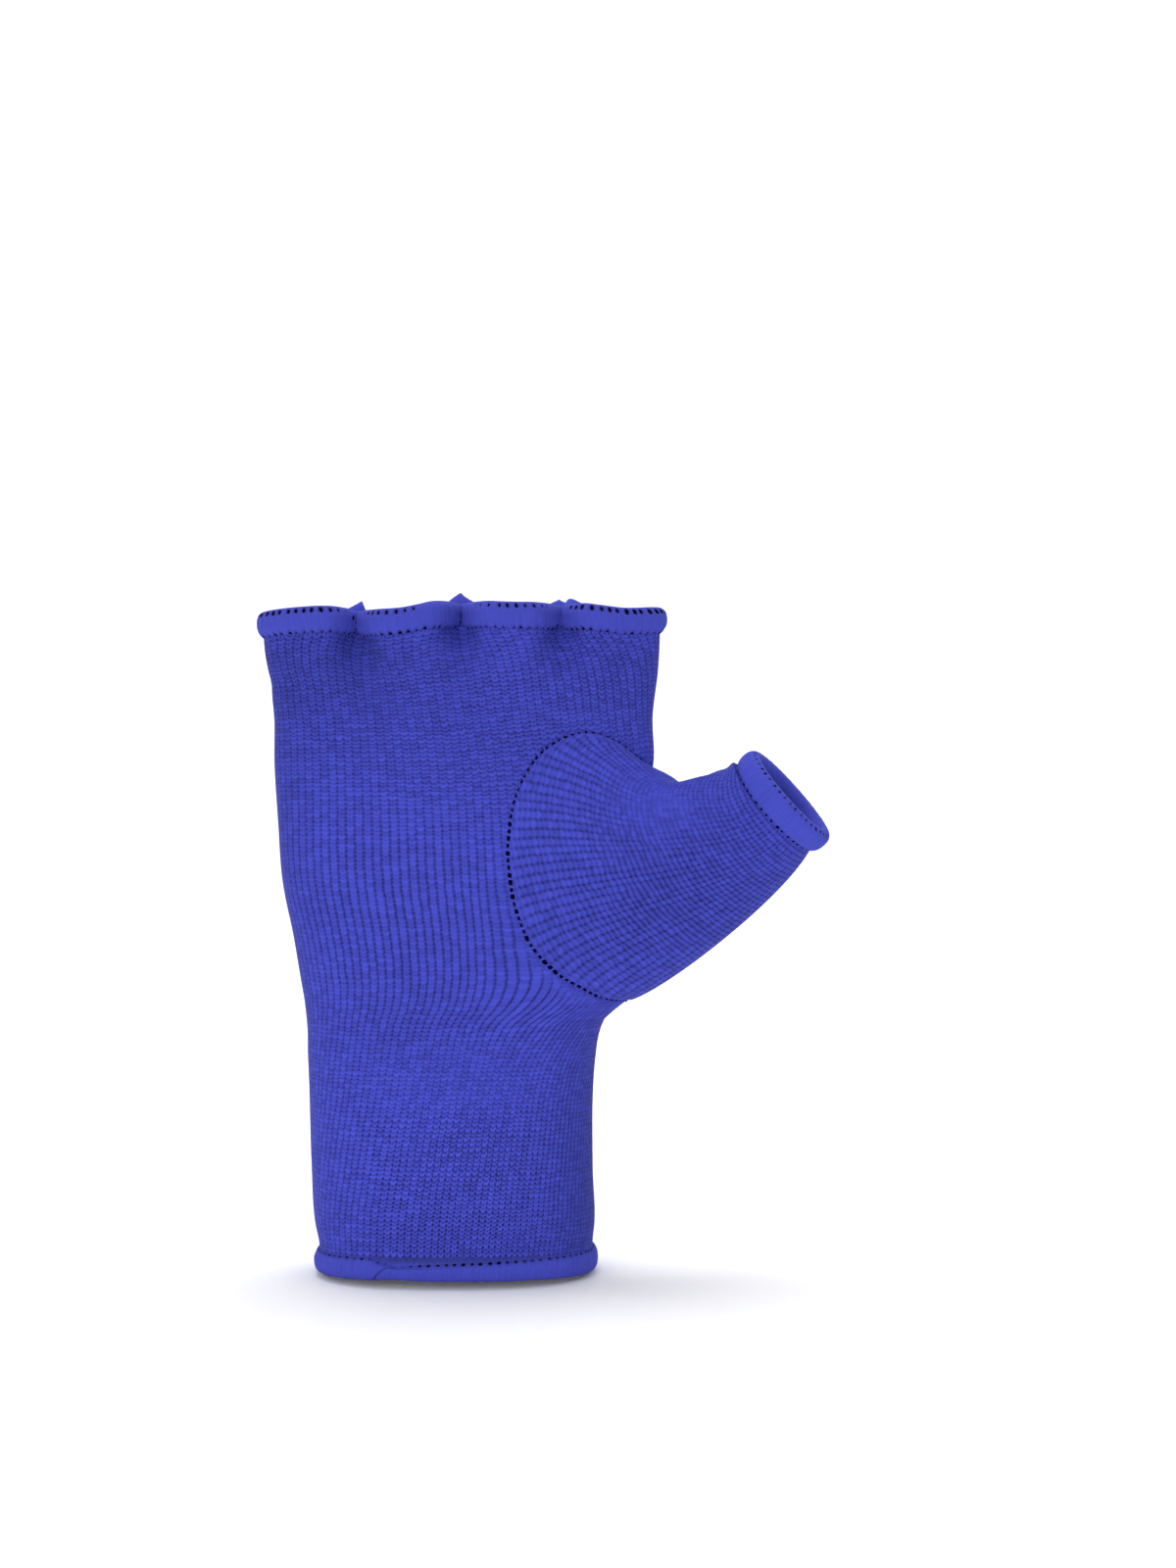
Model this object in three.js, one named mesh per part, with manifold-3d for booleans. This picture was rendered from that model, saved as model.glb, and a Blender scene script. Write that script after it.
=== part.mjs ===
// A knitted inner glove for boxing, for a right hand, in the form it has when it is worn.
// Millimetres, +Z up towards the fingers, the palm faces -Y and the thumb points to +X.
// The origin is the centre of the cuff's opening, level with the binding's lower rim.
import * as THREE from 'three';
import { mergeVertices } from 'three/addons/utils/BufferGeometryUtils.js';
import Module from 'manifold-3d';

const wasm = await Module();
wasm.setup();

// Driving dimensions
const WALL = 1.6; // thickness of the knit
const GAP = 0.3; // clearance between a binding and the knit that it holds
const SEAM_GAP = 0.5; // clearance between the tube and the thumb piece along their seam
const SQUARENESS = 2.5; // 2 is an ellipse, more is flatter on palm and back
const COLUMNS = 72; // vertices round the tube and its bindings
const STALL_COLUMNS = 40; // vertices round the thumb piece

// The tube's outline, a row for each height: its two sides, and its depth on palm and back.
const SECTIONS = [
  { height: 0, left: -32.3, right: 32.3, palm: 21.8, back: 21.0 },
  { height: 6.5, left: -32.3, right: 32.3, palm: 21.8, back: 21.0 },
  { height: 12, left: -33.4, right: 32.8, palm: 22.2, back: 21.4 },
  { height: 24, left: -34.1, right: 32.3, palm: 22.0, back: 21.0 },
  { height: 50, left: -35.0, right: 33.0, palm: 21.0, back: 19.5 },
  { height: 57, left: -35.5, right: 33.9, palm: 20.7, back: 19.0 },
  { height: 60, left: -35.7, right: 35.8, palm: 20.6, back: 18.8 },
  { height: 63, left: -36.0, right: 40.2, palm: 20.5, back: 18.5 },
  { height: 68, left: -36.7, right: 43.0, palm: 20.3, back: 18.1 },
  { height: 78, left: -38.3, right: 43.5, palm: 20.0, back: 17.5 },
  { height: 92, left: -41.1, right: 44.0, palm: 19.0, back: 17.0 },
  { height: 106, left: -42.2, right: 46.4, palm: 17.0, back: 16.2 },
  { height: 120, left: -43.1, right: 47.8, palm: 15.2, back: 15.3 },
  { height: 131, left: -43.2, right: 47.2, palm: 14.2, back: 14.6 },
  { height: 141, left: -44.4, right: 48.1, palm: 13.4, back: 13.8 },
  { height: 149, left: -45.6, right: 48.4, palm: 13.0, back: 13.2 },
  { height: 160, left: -45.6, right: 48.4, palm: 13.0, back: 13.2 },
];

// Heights of the rings of vertices, from the cuff's edge to the top edge.
const CUFF_EDGE = 1.8;
const TOP_EDGE = 155;
const ROWS = [CUFF_EDGE, 6.5, 12, 30, 50, 57, 60, 63, 68, 76, 88, 104, 119, 130, 138, 144, 150, TOP_EDGE];

// The top edge rises and falls across the hand: -1 is the little finger's side, 1 the thumb's.
const TOP_LINE = [
  { across: -1, height: 154.4 },
  { across: -0.75, height: 153.9 },
  { across: -0.51, height: 153.5 },
  { across: -0.25, height: 154.7 },
  { across: 0, height: 155.5 },
  { across: 0.25, height: 155.1 },
  { across: 0.5, height: 154.6 },
  { across: 0.78, height: 153.7 },
  { across: 1, height: 155.8 },
];
const LIFT_FROM = 118; // below this height the rings are level
const BACK_RISE = 1.5; // how much higher the back's edge stands over each finger
const CUFF_RISE = 1.3; // how much higher the palm's edge stands at the cuff
const CUFF_LEVEL = 24; // above this height the rings are level again

// Palm and back are tacked together between the fingers, and a soft fold runs down from each tack.
const PINCHES = [
  { across: -0.5, reach: 9 },
  { across: 0, reach: 6 },
  { across: 0.5, reach: 8 },
];
const PINCH_DEPTH = 3.6; // from the middle plane to the knit's outside at a tack
const PINCH_WIDTH = 4.4;
const PINCH_STRAIGHT = 5; // the bound rim stands straight for this far below the edge
const PINCH_SPREAD = 0.15; // how fast a fold widens as it runs down

// The thumb piece's seam, from the tube's side at the crotch over the palm to the side above the wrist,
// and from there over the back to the crotch. A place is where it lies across the hand and its height.
const SEAM_RADIUS = 30; // millimetres for each radian round the tube, to space the seam's points
const AT_SIDE = 100; // stands for the tube's outermost point on the thumb's side
const PALM_SEAM = [
  { x: AT_SIDE, height: 117.4 },
  { x: 43.8, height: 120.6 },
  { x: 38.5, height: 124.7 },
  { x: 33.5, height: 126.7 },
  { x: 28.9, height: 126.7 },
  { x: 23.0, height: 124.2 },
  { x: 18.8, height: 120.3 },
  { x: 14.5, height: 112.0 },
  { x: 12.8, height: 101.2 },
  { x: 13.2, height: 94.0 },
  { x: 14.8, height: 85.7 },
  { x: 18.2, height: 77.8 },
  { x: 24.0, height: 71.5 },
  { x: 29.2, height: 68.2 },
  { x: 34.9, height: 65.1 },
  { x: AT_SIDE, height: 63.3 },
];
const BACK_SEAM = [
  { x: AT_SIDE, height: 63.3 },
  { x: 33.5, height: 68.0 },
  { x: 27.0, height: 78.0 },
  { x: 24.5, height: 92.0 },
  { x: 26.0, height: 105.0 },
  { x: 32.0, height: 115.0 },
  { x: 41.0, height: 119.0 },
  { x: AT_SIDE, height: 117.4 },
];

// The thumb's opening: the centre of the knit's edge there, and which way the thumb points.
const THUMB = {
  centre: new THREE.Vector3(77.9, -6, 111.7),
  axis: new THREE.Vector3(0.735, -0.21, 0.66).normalize(),
  halfWidth: 12.9,
  halfDepth: 11.6,
  taper: 0.35,
  straight: 4.4, // the bound rim stands straight for this far below the edge
};
const STALL_ROWS = [0, 0.07, 0.17, 0.3, 0.45, 0.6, 0.75, 0.88, 1];
const STALL_START_PULL = 0.78; // how far the knit keeps its way from the seam
const STALL_END_PULL = 0.72; // how far before the rim it takes the thumb's way
// The knit's way at the seam: along the palm, towards the thumb's tip, and out from the hand's side.
const START_ALONG = 0.75;
const START_THUMB = { onPalm: 0.25, onSide: 0.5 };
const START_OUT = 0.55;
const LOW_SLACK = 0.55; // how much sooner the knit leaves its way under the thumb
const LOW_TURN = 0.5; // how much less it stands out there
// On the thumb's upper side the knit sags beyond the crotch and swells before the rim.
const WEB = [
  { share: 0.34, spread: 0.2, lift: -3 },
  { share: 0.7, spread: 0.17, lift: 0.8 },
];

// The binding's roll in section: shares of its girth outwards from the knit, and millimetres past the edge.
const ROLL = [
  { share: 0.92, past: -3.6 },
  { share: 1, past: -1.4 },
  { share: 0.7, past: 1.2 },
  { share: 0, past: 1.8 },
  { share: -0.7, past: 1.2 },
  { share: -1, past: -1.4 },
  { share: -0.92, past: -3.6 },
];
const ROLL_END = -3.9; // where the roll's two lips lie on the knit, past the edge
const POCKET = WALL / 2 + GAP; // half the width of the slot that holds the knit
const GIRTH = { finger: 2.4, thumb: 2.05, cuff: 2.05 }; // from the knit's middle to the roll's outside

const TACK = { halfWidth: 1.5, halfDepth: 0.9, below: 0.6, height: 3 };

const UP = new THREE.Vector3(0, 0, 1);

// A smooth curve through a table's rows: gives every column at any place along the first one.
function through(table, along) {
  const columns = Object.keys(table[0]).filter((name) => name !== along);
  const places = table.map((row) => row[along]);
  const values = table.flatMap((row) => columns.map((name) => row[name]));
  const curve = new THREE.CubicInterpolant(places, values, columns.length);
  return (place) => {
    const found = curve.evaluate(place);
    return Object.fromEntries(columns.map((name, i) => [name, found[i]]));
  };
}

const sectionAt = through(SECTIONS, 'height');
const topLineAt = through(TOP_LINE, 'across');

// How strongly palm and back are drawn together here, from 0 to 1.
function pinchAt(across, halfWidth, row) {
  const below = Math.max(0, TOP_EDGE - PINCH_STRAIGHT - row);
  let drawn = 0;
  for (const pinch of PINCHES) {
    const width = PINCH_WIDTH + PINCH_SPREAD * below;
    const aside = (across - pinch.across) * halfWidth / width;
    drawn += Math.exp(-aside * aside - below / pinch.reach);
  }
  return Math.min(drawn, 1);
}

// A point on the knit's outside: radians round from the thumb's side over the palm, and a height.
function knitPoint(around, row) {
  const section = sectionAt(row);
  const cosine = Math.cos(around);
  const sine = Math.sin(around);
  const power = 2 / SQUARENESS;
  const across = Math.sign(cosine) * Math.abs(cosine) ** power;
  const fullness = Math.abs(sine) ** power;
  const onPalm = sine >= 0;
  const halfWidth = (section.right - section.left) / 2;
  const x = (section.right + section.left) / 2 + halfWidth * across;

  const pinch = pinchAt(across, halfWidth, row);
  const depth = fullness * (onPalm ? section.palm : section.back);
  const drawn = depth + (Math.min(depth, PINCH_DEPTH) - depth) * pinch;

  const rise = onPalm ? 0 : BACK_RISE * fullness * (1 - 0.7 * pinch);
  const lift = topLineAt(across).height + rise - TOP_EDGE;
  const atCuff = 1 - THREE.MathUtils.smoothstep(row, CUFF_EDGE, CUFF_LEVEL);
  const lower = onPalm ? CUFF_RISE * fullness * atCuff : 0;
  const z = row + lower + lift * THREE.MathUtils.smoothstep(row, LIFT_FROM, TOP_EDGE);
  return new THREE.Vector3(x, onPalm ? -drawn : drawn, z);
}

// The outward normal of the knit's outside.
function knitNormal(around, row) {
  const step = 0.01;
  const along = knitPoint(around + step, row).sub(knitPoint(around - step, row));
  const upwards = knitPoint(around, row + step).sub(knitPoint(around, row - step));
  return upwards.cross(along).normalize();
}

// A closed skin over loops of points that follow each other round a wall's section.
function skin(loops) {
  const count = loops[0].length;
  const points = loops.flat();
  const faces = [];
  loops.forEach((loop, i) => {
    const next = (i + 1) % loops.length;
    for (let k = 0; k < count; k += 1) {
      const right = (k + 1) % count;
      const corners = [i * count + k, i * count + right, next * count + right, next * count + k];
      faces.push([corners[0], corners[1], corners[2]]);
      faces.push([corners[0], corners[2], corners[3]]);
    }
  });
  return { points, faces };
}

// A mesh of points and faces as a solid, with its faces turned outwards.
function solidOf({ points, faces }) {
  let volume = 0;
  for (const [a, b, c] of faces) {
    volume += points[a].dot(points[b].clone().cross(points[c]));
  }
  const order = volume > 0 ? faces : faces.map(([a, b, c]) => [a, c, b]);
  return new wasm.Manifold(new wasm.Mesh({
    numProp: 3,
    vertProperties: new Float32Array(points.flatMap((point) => point.toArray())),
    triVerts: new Uint32Array(order.flat()),
  }));
}

// A solid as a named mesh with its own material.
function meshOf(name, solid, look) {
  const { vertProperties, triVerts } = solid.getMesh();
  const geometry = new THREE.BufferGeometry();
  geometry.setAttribute('position', new THREE.BufferAttribute(vertProperties, 3));
  geometry.setIndex(new THREE.BufferAttribute(triVerts, 1));
  const mesh = new THREE.Mesh(geometry, new THREE.MeshStandardMaterial({ metalness: 0, ...look }));
  mesh.name = name;
  return mesh;
}

const degreesRound = [...Array(COLUMNS).keys()].map((k) => (k / COLUMNS) * 2 * Math.PI);

// How far round the tube from the thumb's side, in radians, a place across the hand lies.
function aroundAt(x, row) {
  const { left, right } = sectionAt(row);
  const across = THREE.MathUtils.clamp((2 * x - left - right) / (right - left), -1, 1);
  return Math.acos(Math.sign(across) * Math.abs(across) ** (SQUARENESS / 2));
}

// Points spaced evenly along a seam table, on the palm (side 1) or the back (side -1).
function alongSeam(table, side, count) {
  const corners = table.map(({ x, height }) => (
    new THREE.Vector3(aroundAt(x, height) * SEAM_RADIUS, height, 0)
  ));
  const curve = new THREE.CatmullRomCurve3(corners, false, 'centripetal');
  return curve.getSpacedPoints(count).slice(0, count).map((point) => ({
    around: side * point.x / SEAM_RADIUS,
    height: point.y,
  }));
}

// The seam's points on the knit, each with its normal and the direction into the thumb piece.
function seamLoop() {
  const half = STALL_COLUMNS / 2;
  const places = [...alongSeam(PALM_SEAM, 1, half), ...alongSeam(BACK_SEAM, -1, half)];
  const loop = places.map(({ around, height }) => ({
    point: knitPoint(around, height),
    normal: knitNormal(around, height),
  }));
  loop.forEach((place, k) => {
    const before = loop[(k + loop.length - 1) % loop.length].point;
    const after = loop[(k + 1) % loop.length].point;
    const along = after.clone().sub(before).normalize();
    place.inwards = place.normal.clone().cross(along).normalize();
  });
  return loop;
}

const seam = seamLoop();

// What the thumb's hole takes out of the tube: a plug whose sides cross the wall squarely.
function thumbHole() {
  const outside = 12;
  const inside = 4;
  const outerTip = new THREE.Vector3(110, 0, 96);
  const innerTip = new THREE.Vector3(22, 0, 95);
  const outer = seam.map(({ point, normal }) => point.clone().addScaledVector(normal, outside));
  const inner = seam.map(({ point, normal }) => point.clone().addScaledVector(normal, -inside));
  const points = [...outer, ...inner, outerTip, innerTip];
  const count = seam.length;
  const faces = [];
  for (let k = 0; k < count; k += 1) {
    const next = (k + 1) % count;
    faces.push([k, next, count + next]);
    faces.push([k, count + next, count + k]);
    faces.push([next, k, 2 * count]);
    faces.push([count + k, count + next, 2 * count + 1]);
  }
  return solidOf({ points, faces });
}

function knitBody() {
  const loop = (row, depth) => degreesRound.map(
    (around) => knitPoint(around, row).addScaledVector(knitNormal(around, row), -depth),
  );
  const outside = ROWS.map((row) => loop(row, 0));
  const inside = ROWS.map((row) => loop(row, WALL)).reverse();
  return solidOf(skin([...outside, ...inside])).subtract(thumbHole());
}

// The thumb's opening, a ring of points with outward normals square to the thumb.
function thumbRing() {
  const { centre, axis, halfWidth, halfDepth } = THUMB;
  const towardsPalm = new THREE.Vector3(0, -1, 0);
  towardsPalm.addScaledVector(axis, -towardsPalm.dot(axis)).normalize();
  const above = axis.clone().cross(towardsPalm).negate();
  return seam.map((place, k) => {
    const turn = (k / seam.length) * 2 * Math.PI;
    const cosine = Math.cos(turn);
    const sine = Math.sin(turn);
    const point = centre.clone()
      .addScaledVector(above, halfWidth * cosine)
      .addScaledVector(towardsPalm, halfDepth * sine);
    const normal = above.clone().multiplyScalar(cosine / halfWidth)
      .addScaledVector(towardsPalm, sine / halfDepth).normalize();
    return { point, normal };
  });
}

const ring = thumbRing();

// A point of the thumb piece's outside, from the seam (0) to where its bound rim begins (1).
function stallPoint(k, share) {
  const start = seam[k].point.clone().addScaledVector(seam[k].inwards, SEAM_GAP);
  const end = ring[k].point.clone().addScaledVector(THUMB.axis, -THUMB.straight);
  const reach = start.distanceTo(end);
  const { inwards, normal } = seam[k];
  const onSide = Math.max(0, normal.x);
  const under = onSide * Math.max(0, inwards.dot(THUMB.axis));
  const along = START_ALONG - under;
  const startWay = inwards.clone().multiplyScalar(along)
    .addScaledVector(THUMB.axis, THREE.MathUtils.lerp(START_THUMB.onPalm, START_THUMB.onSide, onSide))
    .addScaledVector(normal, START_OUT * onSide * (1 - LOW_TURN * under)).normalize();
  const endWay = THUMB.axis.clone().addScaledVector(ring[k].normal, -THUMB.taper).normalize();
  const startPull = STALL_START_PULL * (1 - LOW_SLACK * under);
  const above = Math.sqrt(Math.max(0, Math.cos((2 * Math.PI * k) / STALL_COLUMNS)));
  let lift = 0;
  for (const web of WEB) lift += web.lift * Math.exp(-(((share - web.share) / web.spread) ** 2));
  const [s, s2, s3] = [share, share ** 2, share ** 3];
  return start.multiplyScalar(2 * s3 - 3 * s2 + 1)
    .addScaledVector(startWay, (s3 - 2 * s2 + s) * reach * startPull)
    .addScaledVector(end, 3 * s2 - 2 * s3)
    .addScaledVector(endWay, (s3 - s2) * reach * STALL_END_PULL)
    .addScaledVector(UP, lift * above * Math.sin(Math.PI * share));
}

function thumbStall() {
  const outside = STALL_ROWS.map((share) => seam.map((_, k) => stallPoint(k, share)));
  const rimStart = outside.length - 1;
  outside.push(ring.map(({ point }) => point.clone()));
  const inside = outside.map((loop, i) => loop.map((point, k) => {
    if (i === 0) return point.clone().addScaledVector(seam[k].normal, -WALL);
    if (i >= rimStart) return point.clone().addScaledVector(ring[k].normal, -WALL);
    const count = loop.length;
    const along = loop[(k + 1) % count].clone().sub(loop[(k + count - 1) % count]);
    const outwards = along.cross(outside[i + 1][k].clone().sub(outside[i - 1][k])).normalize();
    return point.clone().addScaledVector(outwards, -WALL);
  }));
  return solidOf(skin([...outside, ...inside.reverse()]));
}

// A binding round an edge: each place of the edge has a point on the knit's outside, a normal and
// the way past the edge.
function bindingOf(edge, girth) {
  const section = [
    { out: POCKET, past: ROLL_END },
    ...ROLL.map(({ share, past }) => ({ out: share * girth, past })),
    { out: -POCKET, past: ROLL_END },
    { out: -POCKET, past: GAP },
    { out: POCKET, past: GAP },
  ];
  return solidOf(skin(section.map(({ out, past }) => edge.map(({ point, normal, onwards }) => (
    point.clone().addScaledVector(normal, out - WALL / 2).addScaledVector(onwards, past)
  )))));
}

function edgeAt(row, onwards) {
  return degreesRound.map((around) => {
    const normal = knitNormal(around, row);
    normal.z = 0;
    return { point: knitPoint(around, row), normal: normal.normalize(), onwards };
  });
}

// A three.js geometry as a solid.
function solidOfGeometry(geometry) {
  geometry.deleteAttribute('normal');
  geometry.deleteAttribute('uv');
  const merged = mergeVertices(geometry);
  return new wasm.Manifold(new wasm.Mesh({
    numProp: 3,
    vertProperties: merged.getAttribute('position').array,
    triVerts: new Uint32Array(merged.getIndex().array),
  }));
}

// Where palm and back are sewn together between two fingers: a block inside both bindings.
function tackAt(pinch) {
  const { left, right } = sectionAt(TOP_EDGE);
  const x = (left + right + pinch.across * (right - left)) / 2;
  const edge = knitPoint(aroundAt(x, TOP_EDGE), TOP_EDGE);
  const block = new THREE.BoxGeometry(2 * TACK.halfWidth, 2 * TACK.halfDepth, TACK.height);
  block.translate(edge.x, 0, edge.z - TACK.below - TACK.height / 2);
  return solidOfGeometry(block);
}

function fingerBinding() {
  const strip = bindingOf(edgeAt(TOP_EDGE, UP), GIRTH.finger);
  return PINCHES.reduce((joined, pinch) => joined.add(tackAt(pinch)), strip);
}

function thumbBinding() {
  const edge = ring.map(({ point, normal }) => ({ point, normal, onwards: THUMB.axis }));
  return bindingOf(edge, GIRTH.thumb);
}

function cuffBinding() {
  return bindingOf(edgeAt(CUFF_EDGE, UP.clone().negate()), GIRTH.cuff);
}

const KNIT_LOOK = { color: '#3b40b0', roughness: 0.9 };
const BINDING_LOOK = { color: '#4348ba', roughness: 0.85 };

const glove = new THREE.Group();
glove.add(meshOf('knit_body', knitBody(), KNIT_LOOK));
glove.add(meshOf('thumb_stall', thumbStall(), KNIT_LOOK));
glove.add(meshOf('finger_binding', fingerBinding(), BINDING_LOOK));
glove.add(meshOf('thumb_binding', thumbBinding(), BINDING_LOOK));
glove.add(meshOf('cuff_binding', cuffBinding(), BINDING_LOOK));

export default glove;
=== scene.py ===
"""A knitted inner glove for boxing, dressed as it looks when it is worn.

The tube, the thumb piece and the three bindings are rebuilt at the fineness of their wales and threads.
Tables and functions of the shape are in millimetres, and meshes are in metres. +Z points to the fingers,
the palm faces -Y and the thumb points to +X.
"""

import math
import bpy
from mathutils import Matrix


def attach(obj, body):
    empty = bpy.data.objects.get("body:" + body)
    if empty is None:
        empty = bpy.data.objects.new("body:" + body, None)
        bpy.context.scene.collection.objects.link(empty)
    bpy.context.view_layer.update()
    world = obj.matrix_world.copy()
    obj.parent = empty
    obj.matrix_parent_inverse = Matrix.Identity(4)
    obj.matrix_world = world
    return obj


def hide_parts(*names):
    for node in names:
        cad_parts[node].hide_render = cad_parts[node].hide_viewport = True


bl_info = {
    "name": "Knitted inner glove",
    "version": (1, 0, 0),
    "blender": (4, 5, 0),
    "location": "3D View > Sidebar > Glove",
    "description": "Builds a ribbed inner glove with overlocked openings and its studio",
    "category": "Object",
}

from collections import namedtuple

import bpy
import numpy as np
from mathutils import Vector

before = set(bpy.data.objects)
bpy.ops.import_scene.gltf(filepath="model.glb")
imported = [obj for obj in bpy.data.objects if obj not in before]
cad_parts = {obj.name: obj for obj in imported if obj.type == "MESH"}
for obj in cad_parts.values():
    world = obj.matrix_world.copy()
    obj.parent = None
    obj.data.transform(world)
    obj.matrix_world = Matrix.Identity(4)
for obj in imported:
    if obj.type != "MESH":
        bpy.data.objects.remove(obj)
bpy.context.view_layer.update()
BODY = "root"
MM = 0.001
FINE_TURN = np.linspace(0, 2 * np.pi, 1441)  # once round, to measure girths


def table(kind, *rows):
    """Named rows, each from its plain values."""
    return [kind(*row) for row in rows]


# The tube's outline, a row for each height: its two sides, and its depth on palm and back. Tables list
# their rows' values in the order of the names above them.
Section = namedtuple("Section", "height left right palm back")
SECTIONS = table(
    Section,
    (0, -32.3, 32.3, 21.8, 21.0), (6.5, -32.3, 32.3, 21.8, 21.0), (12, -33.4, 32.8, 22.2, 21.4),
    (24, -34.1, 32.3, 22.0, 21.0), (50, -35.0, 33.0, 21.0, 19.5), (62, -35.9, 35.6, 20.5, 18.5),
    (78, -38.3, 41.0, 20.0, 17.5), (92, -41.1, 44.0, 19.0, 17.0), (106, -42.2, 46.4, 17.0, 16.2),
    (120, -43.1, 47.8, 15.2, 15.3), (131, -43.2, 47.2, 14.2, 14.6), (141, -44.4, 48.1, 13.4, 13.8),
    (149, -45.6, 48.4, 13.0, 13.2), (160, -45.6, 48.4, 13.0, 13.2),
)
SQUARENESS = 2.5  # 2 is an ellipse, more is flatter on palm and back
FLARE_POWER = 4  # keeps the flare at the thumb's side

# Under the thumb piece the tube flares out on the thumb's side.
Flare = namedtuple("Flare", "height out")
FLARES = table(
    Flare,
    (0, 0), (50, 0), (57, -0.1), (60, 0.7), (63, 4.2), (68, 5.6), (78, 2.5), (92, 0), (160, 0),
)
CUFF_EDGE = 1.8
TOP_EDGE = 155.0

# The top edge rises and falls across the palm: -1 is the side away from the thumb, 1 the thumb's side.
TopPlace = namedtuple("TopPlace", "across height")
TOP_LINE = table(
    TopPlace,
    (-1, 153.8), (-0.83, 154.45), (-0.62, 154.7), (-0.45, 153.95), (-0.3, 154.1), (-0.09, 155.9),
    (0.08, 155.8), (0.25, 155.5), (0.6, 155.4), (0.7, 154.9), (0.82, 154.35), (1, 154.9),
)
LIFT_FROM = 118.0  # below this height the rows are level
BACK_RISE = 1.5  # how much higher the back's edge stands over each finger opening
CUFF_RISE = 1.3  # how much higher the palm's edge stands at the cuff
CUFF_LEVEL = 24.0  # above this height the rows are level again

# Palm and back are tacked together between the finger openings, and a soft fold runs down from each tack.
Pinch = namedtuple("Pinch", "across reach")
PINCHES = table(
    Pinch,
    (-0.525, 9.0), (0.0, 6.0), (0.5, 8.0),
)
PINCH_DEPTH = 3.6  # from the middle plane to the knit's outside at a tack
PINCH_WIDTH = 4.4
PINCH_STRAIGHT = 5.0  # the bound rim stands straight for this far below the edge
PINCH_SPREAD = 0.15  # how fast a fold widens as it runs down

# Beside the tacks the back's rim stands up in small peaks, each with a slope on its left and on its right.
Peak = namedtuple("Peak", "x rise left right")
PEAKS = table(
    Peak,
    (-23.0, 2.5, 2.0, 0.4), (1.0, 2.7, 1.8, 2.0), (24.6, 1.5, 1.5, 1.5), (26.4, 1.5, 1.5, 2.4),
)

# How open the threads lie under the palm's rim, opening by opening, which sets how deep their gaps are and
# how much painted shade lies in them.
Slotted = namedtuple("Slotted", "x strength")
SLOTTED = table(
    Slotted,
    (-48, 0.9), (-44, 1), (-29, 1), (-26, 0.1), (-21, 0.1), (-18, 0.7), (-10, 0.6), (-7, 0.05),
    (5, 0.05), (8, 0.55), (19, 0.5), (22, 0.1), (27, 0.1), (29, 1), (46, 1), (50, 0.7),
)

# The thumb piece's seam over the palm, from the crotch to above the wrist, and up again over the back.
SeamPlace = namedtuple("SeamPlace", "x height")
SEAM_RADIUS = 30.0  # millimetres for each radian round the tube, to space the seam's points
SEAM_SAMPLES = 4000
SIDE_ROUNDS = 40  # enough for a place across to settle on its angle
AT_SIDE = 100.0  # stands for the tube's outermost point on the thumb's side
PALM_SEAM = table(
    SeamPlace,
    (AT_SIDE, 117.4), (43.8, 120.6), (38.5, 124.7), (33.5, 126.7), (28.9, 126.7), (23.0, 124.2),
    (18.8, 120.3), (14.5, 112.0), (12.8, 101.2), (13.2, 94.0), (14.8, 85.7), (18.2, 77.8), (24.0, 71.5),
    (29.2, 68.2), (34.9, 65.1), (AT_SIDE, 63.3),
)
BACK_SEAM = table(
    SeamPlace,
    (AT_SIDE, 63.3), (33.5, 68.0), (27.0, 78.0), (24.5, 92.0), (26.0, 105.0), (32.0, 115.0),
    (41.0, 119.0), (AT_SIDE, 117.4),
)

# The thumb's opening: the centre of the knit's edge there, and which way the thumb points.
THUMB_CENTRE = np.array([77.9, -6.0, 111.7])
THUMB_AXIS = np.array([0.735, -0.21, 0.66])
THUMB_AXIS /= np.linalg.norm(THUMB_AXIS)
THUMB_HALF_WIDTH = 12.9
THUMB_HALF_DEPTH = 11.6
THUMB_TAPER = 0.35
THUMB_STRAIGHT = 4.4
SEAM_GAP = 0.05
STALL_START_PULL = 0.78
STALL_END_PULL = 0.72
START_ALONG = 0.75
START_THUMB_PALM = 0.25
START_THUMB_SIDE = 0.5
START_OUT = 0.55
LOW_SLACK = 0.55  # how much sooner the knit leaves its way under the thumb
LOW_TURN = 0.5  # how much less it stands out there
# On the thumb's upper side the knit sags beyond the crotch and swells before the rim.
Web = namedtuple("Web", "share spread lift")
WEBS = table(
    Web,
    (0.408, 0.173, -5.0), (0.838, 0.404, 0.97), (0.996, 0.083, 6.4),
)

# Soft dents in the worn knit: where they lie, their half sizes, their turn and how deep they are.
Dent = namedtuple("Dent", "side x height half_x half_height turn depth")
PALM, BACK = 1, -1
SIDE_FADE = 8.0  # how far behind the side line what lies on the palm fades out
DENTS = table(
    Dent,
    (PALM, -21.5, 144, 3.2, 11, 8, 1.0),
    (PALM, -15.0, 138, 9.0, 4.0, 30, 0.5),
    (PALM, 2.0, 144, 3.4, 7, -8, 0.7),
    (PALM, 26.5, 144, 3.6, 8, -4, 0.9),
    (PALM, -37.0, 138, 8.0, 2.2, -6, 0.8),
    (PALM, -12.0, 58, 22.0, 3.6, 3, 0.7),
    (PALM, 6.0, 51, 18.0, 3.0, -4, 0.45),
    (PALM, -30.0, 64, 9.0, 5.0, 12, 0.4),
    (PALM, 14.0, 134, 16.0, 4.0, 6, 0.3),
    (PALM, -14.0, 12, 12.0, 2.6, -4, 0.5),
    (BACK, -20.0, 142, 3.6, 9, 5, 0.9),
    (BACK, 4.0, 143, 3.6, 7, 0, 0.7),
    (BACK, 27.0, 143, 3.6, 8, -5, 0.9),
    (BACK, -4.0, 58, 26.0, 4.0, -3, 0.6),
    (BACK, 8.0, 48, 18.0, 3.0, 4, 0.4),
    (BACK, -12.0, 104, 26.0, 9.0, 10, 0.5),
)

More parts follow.
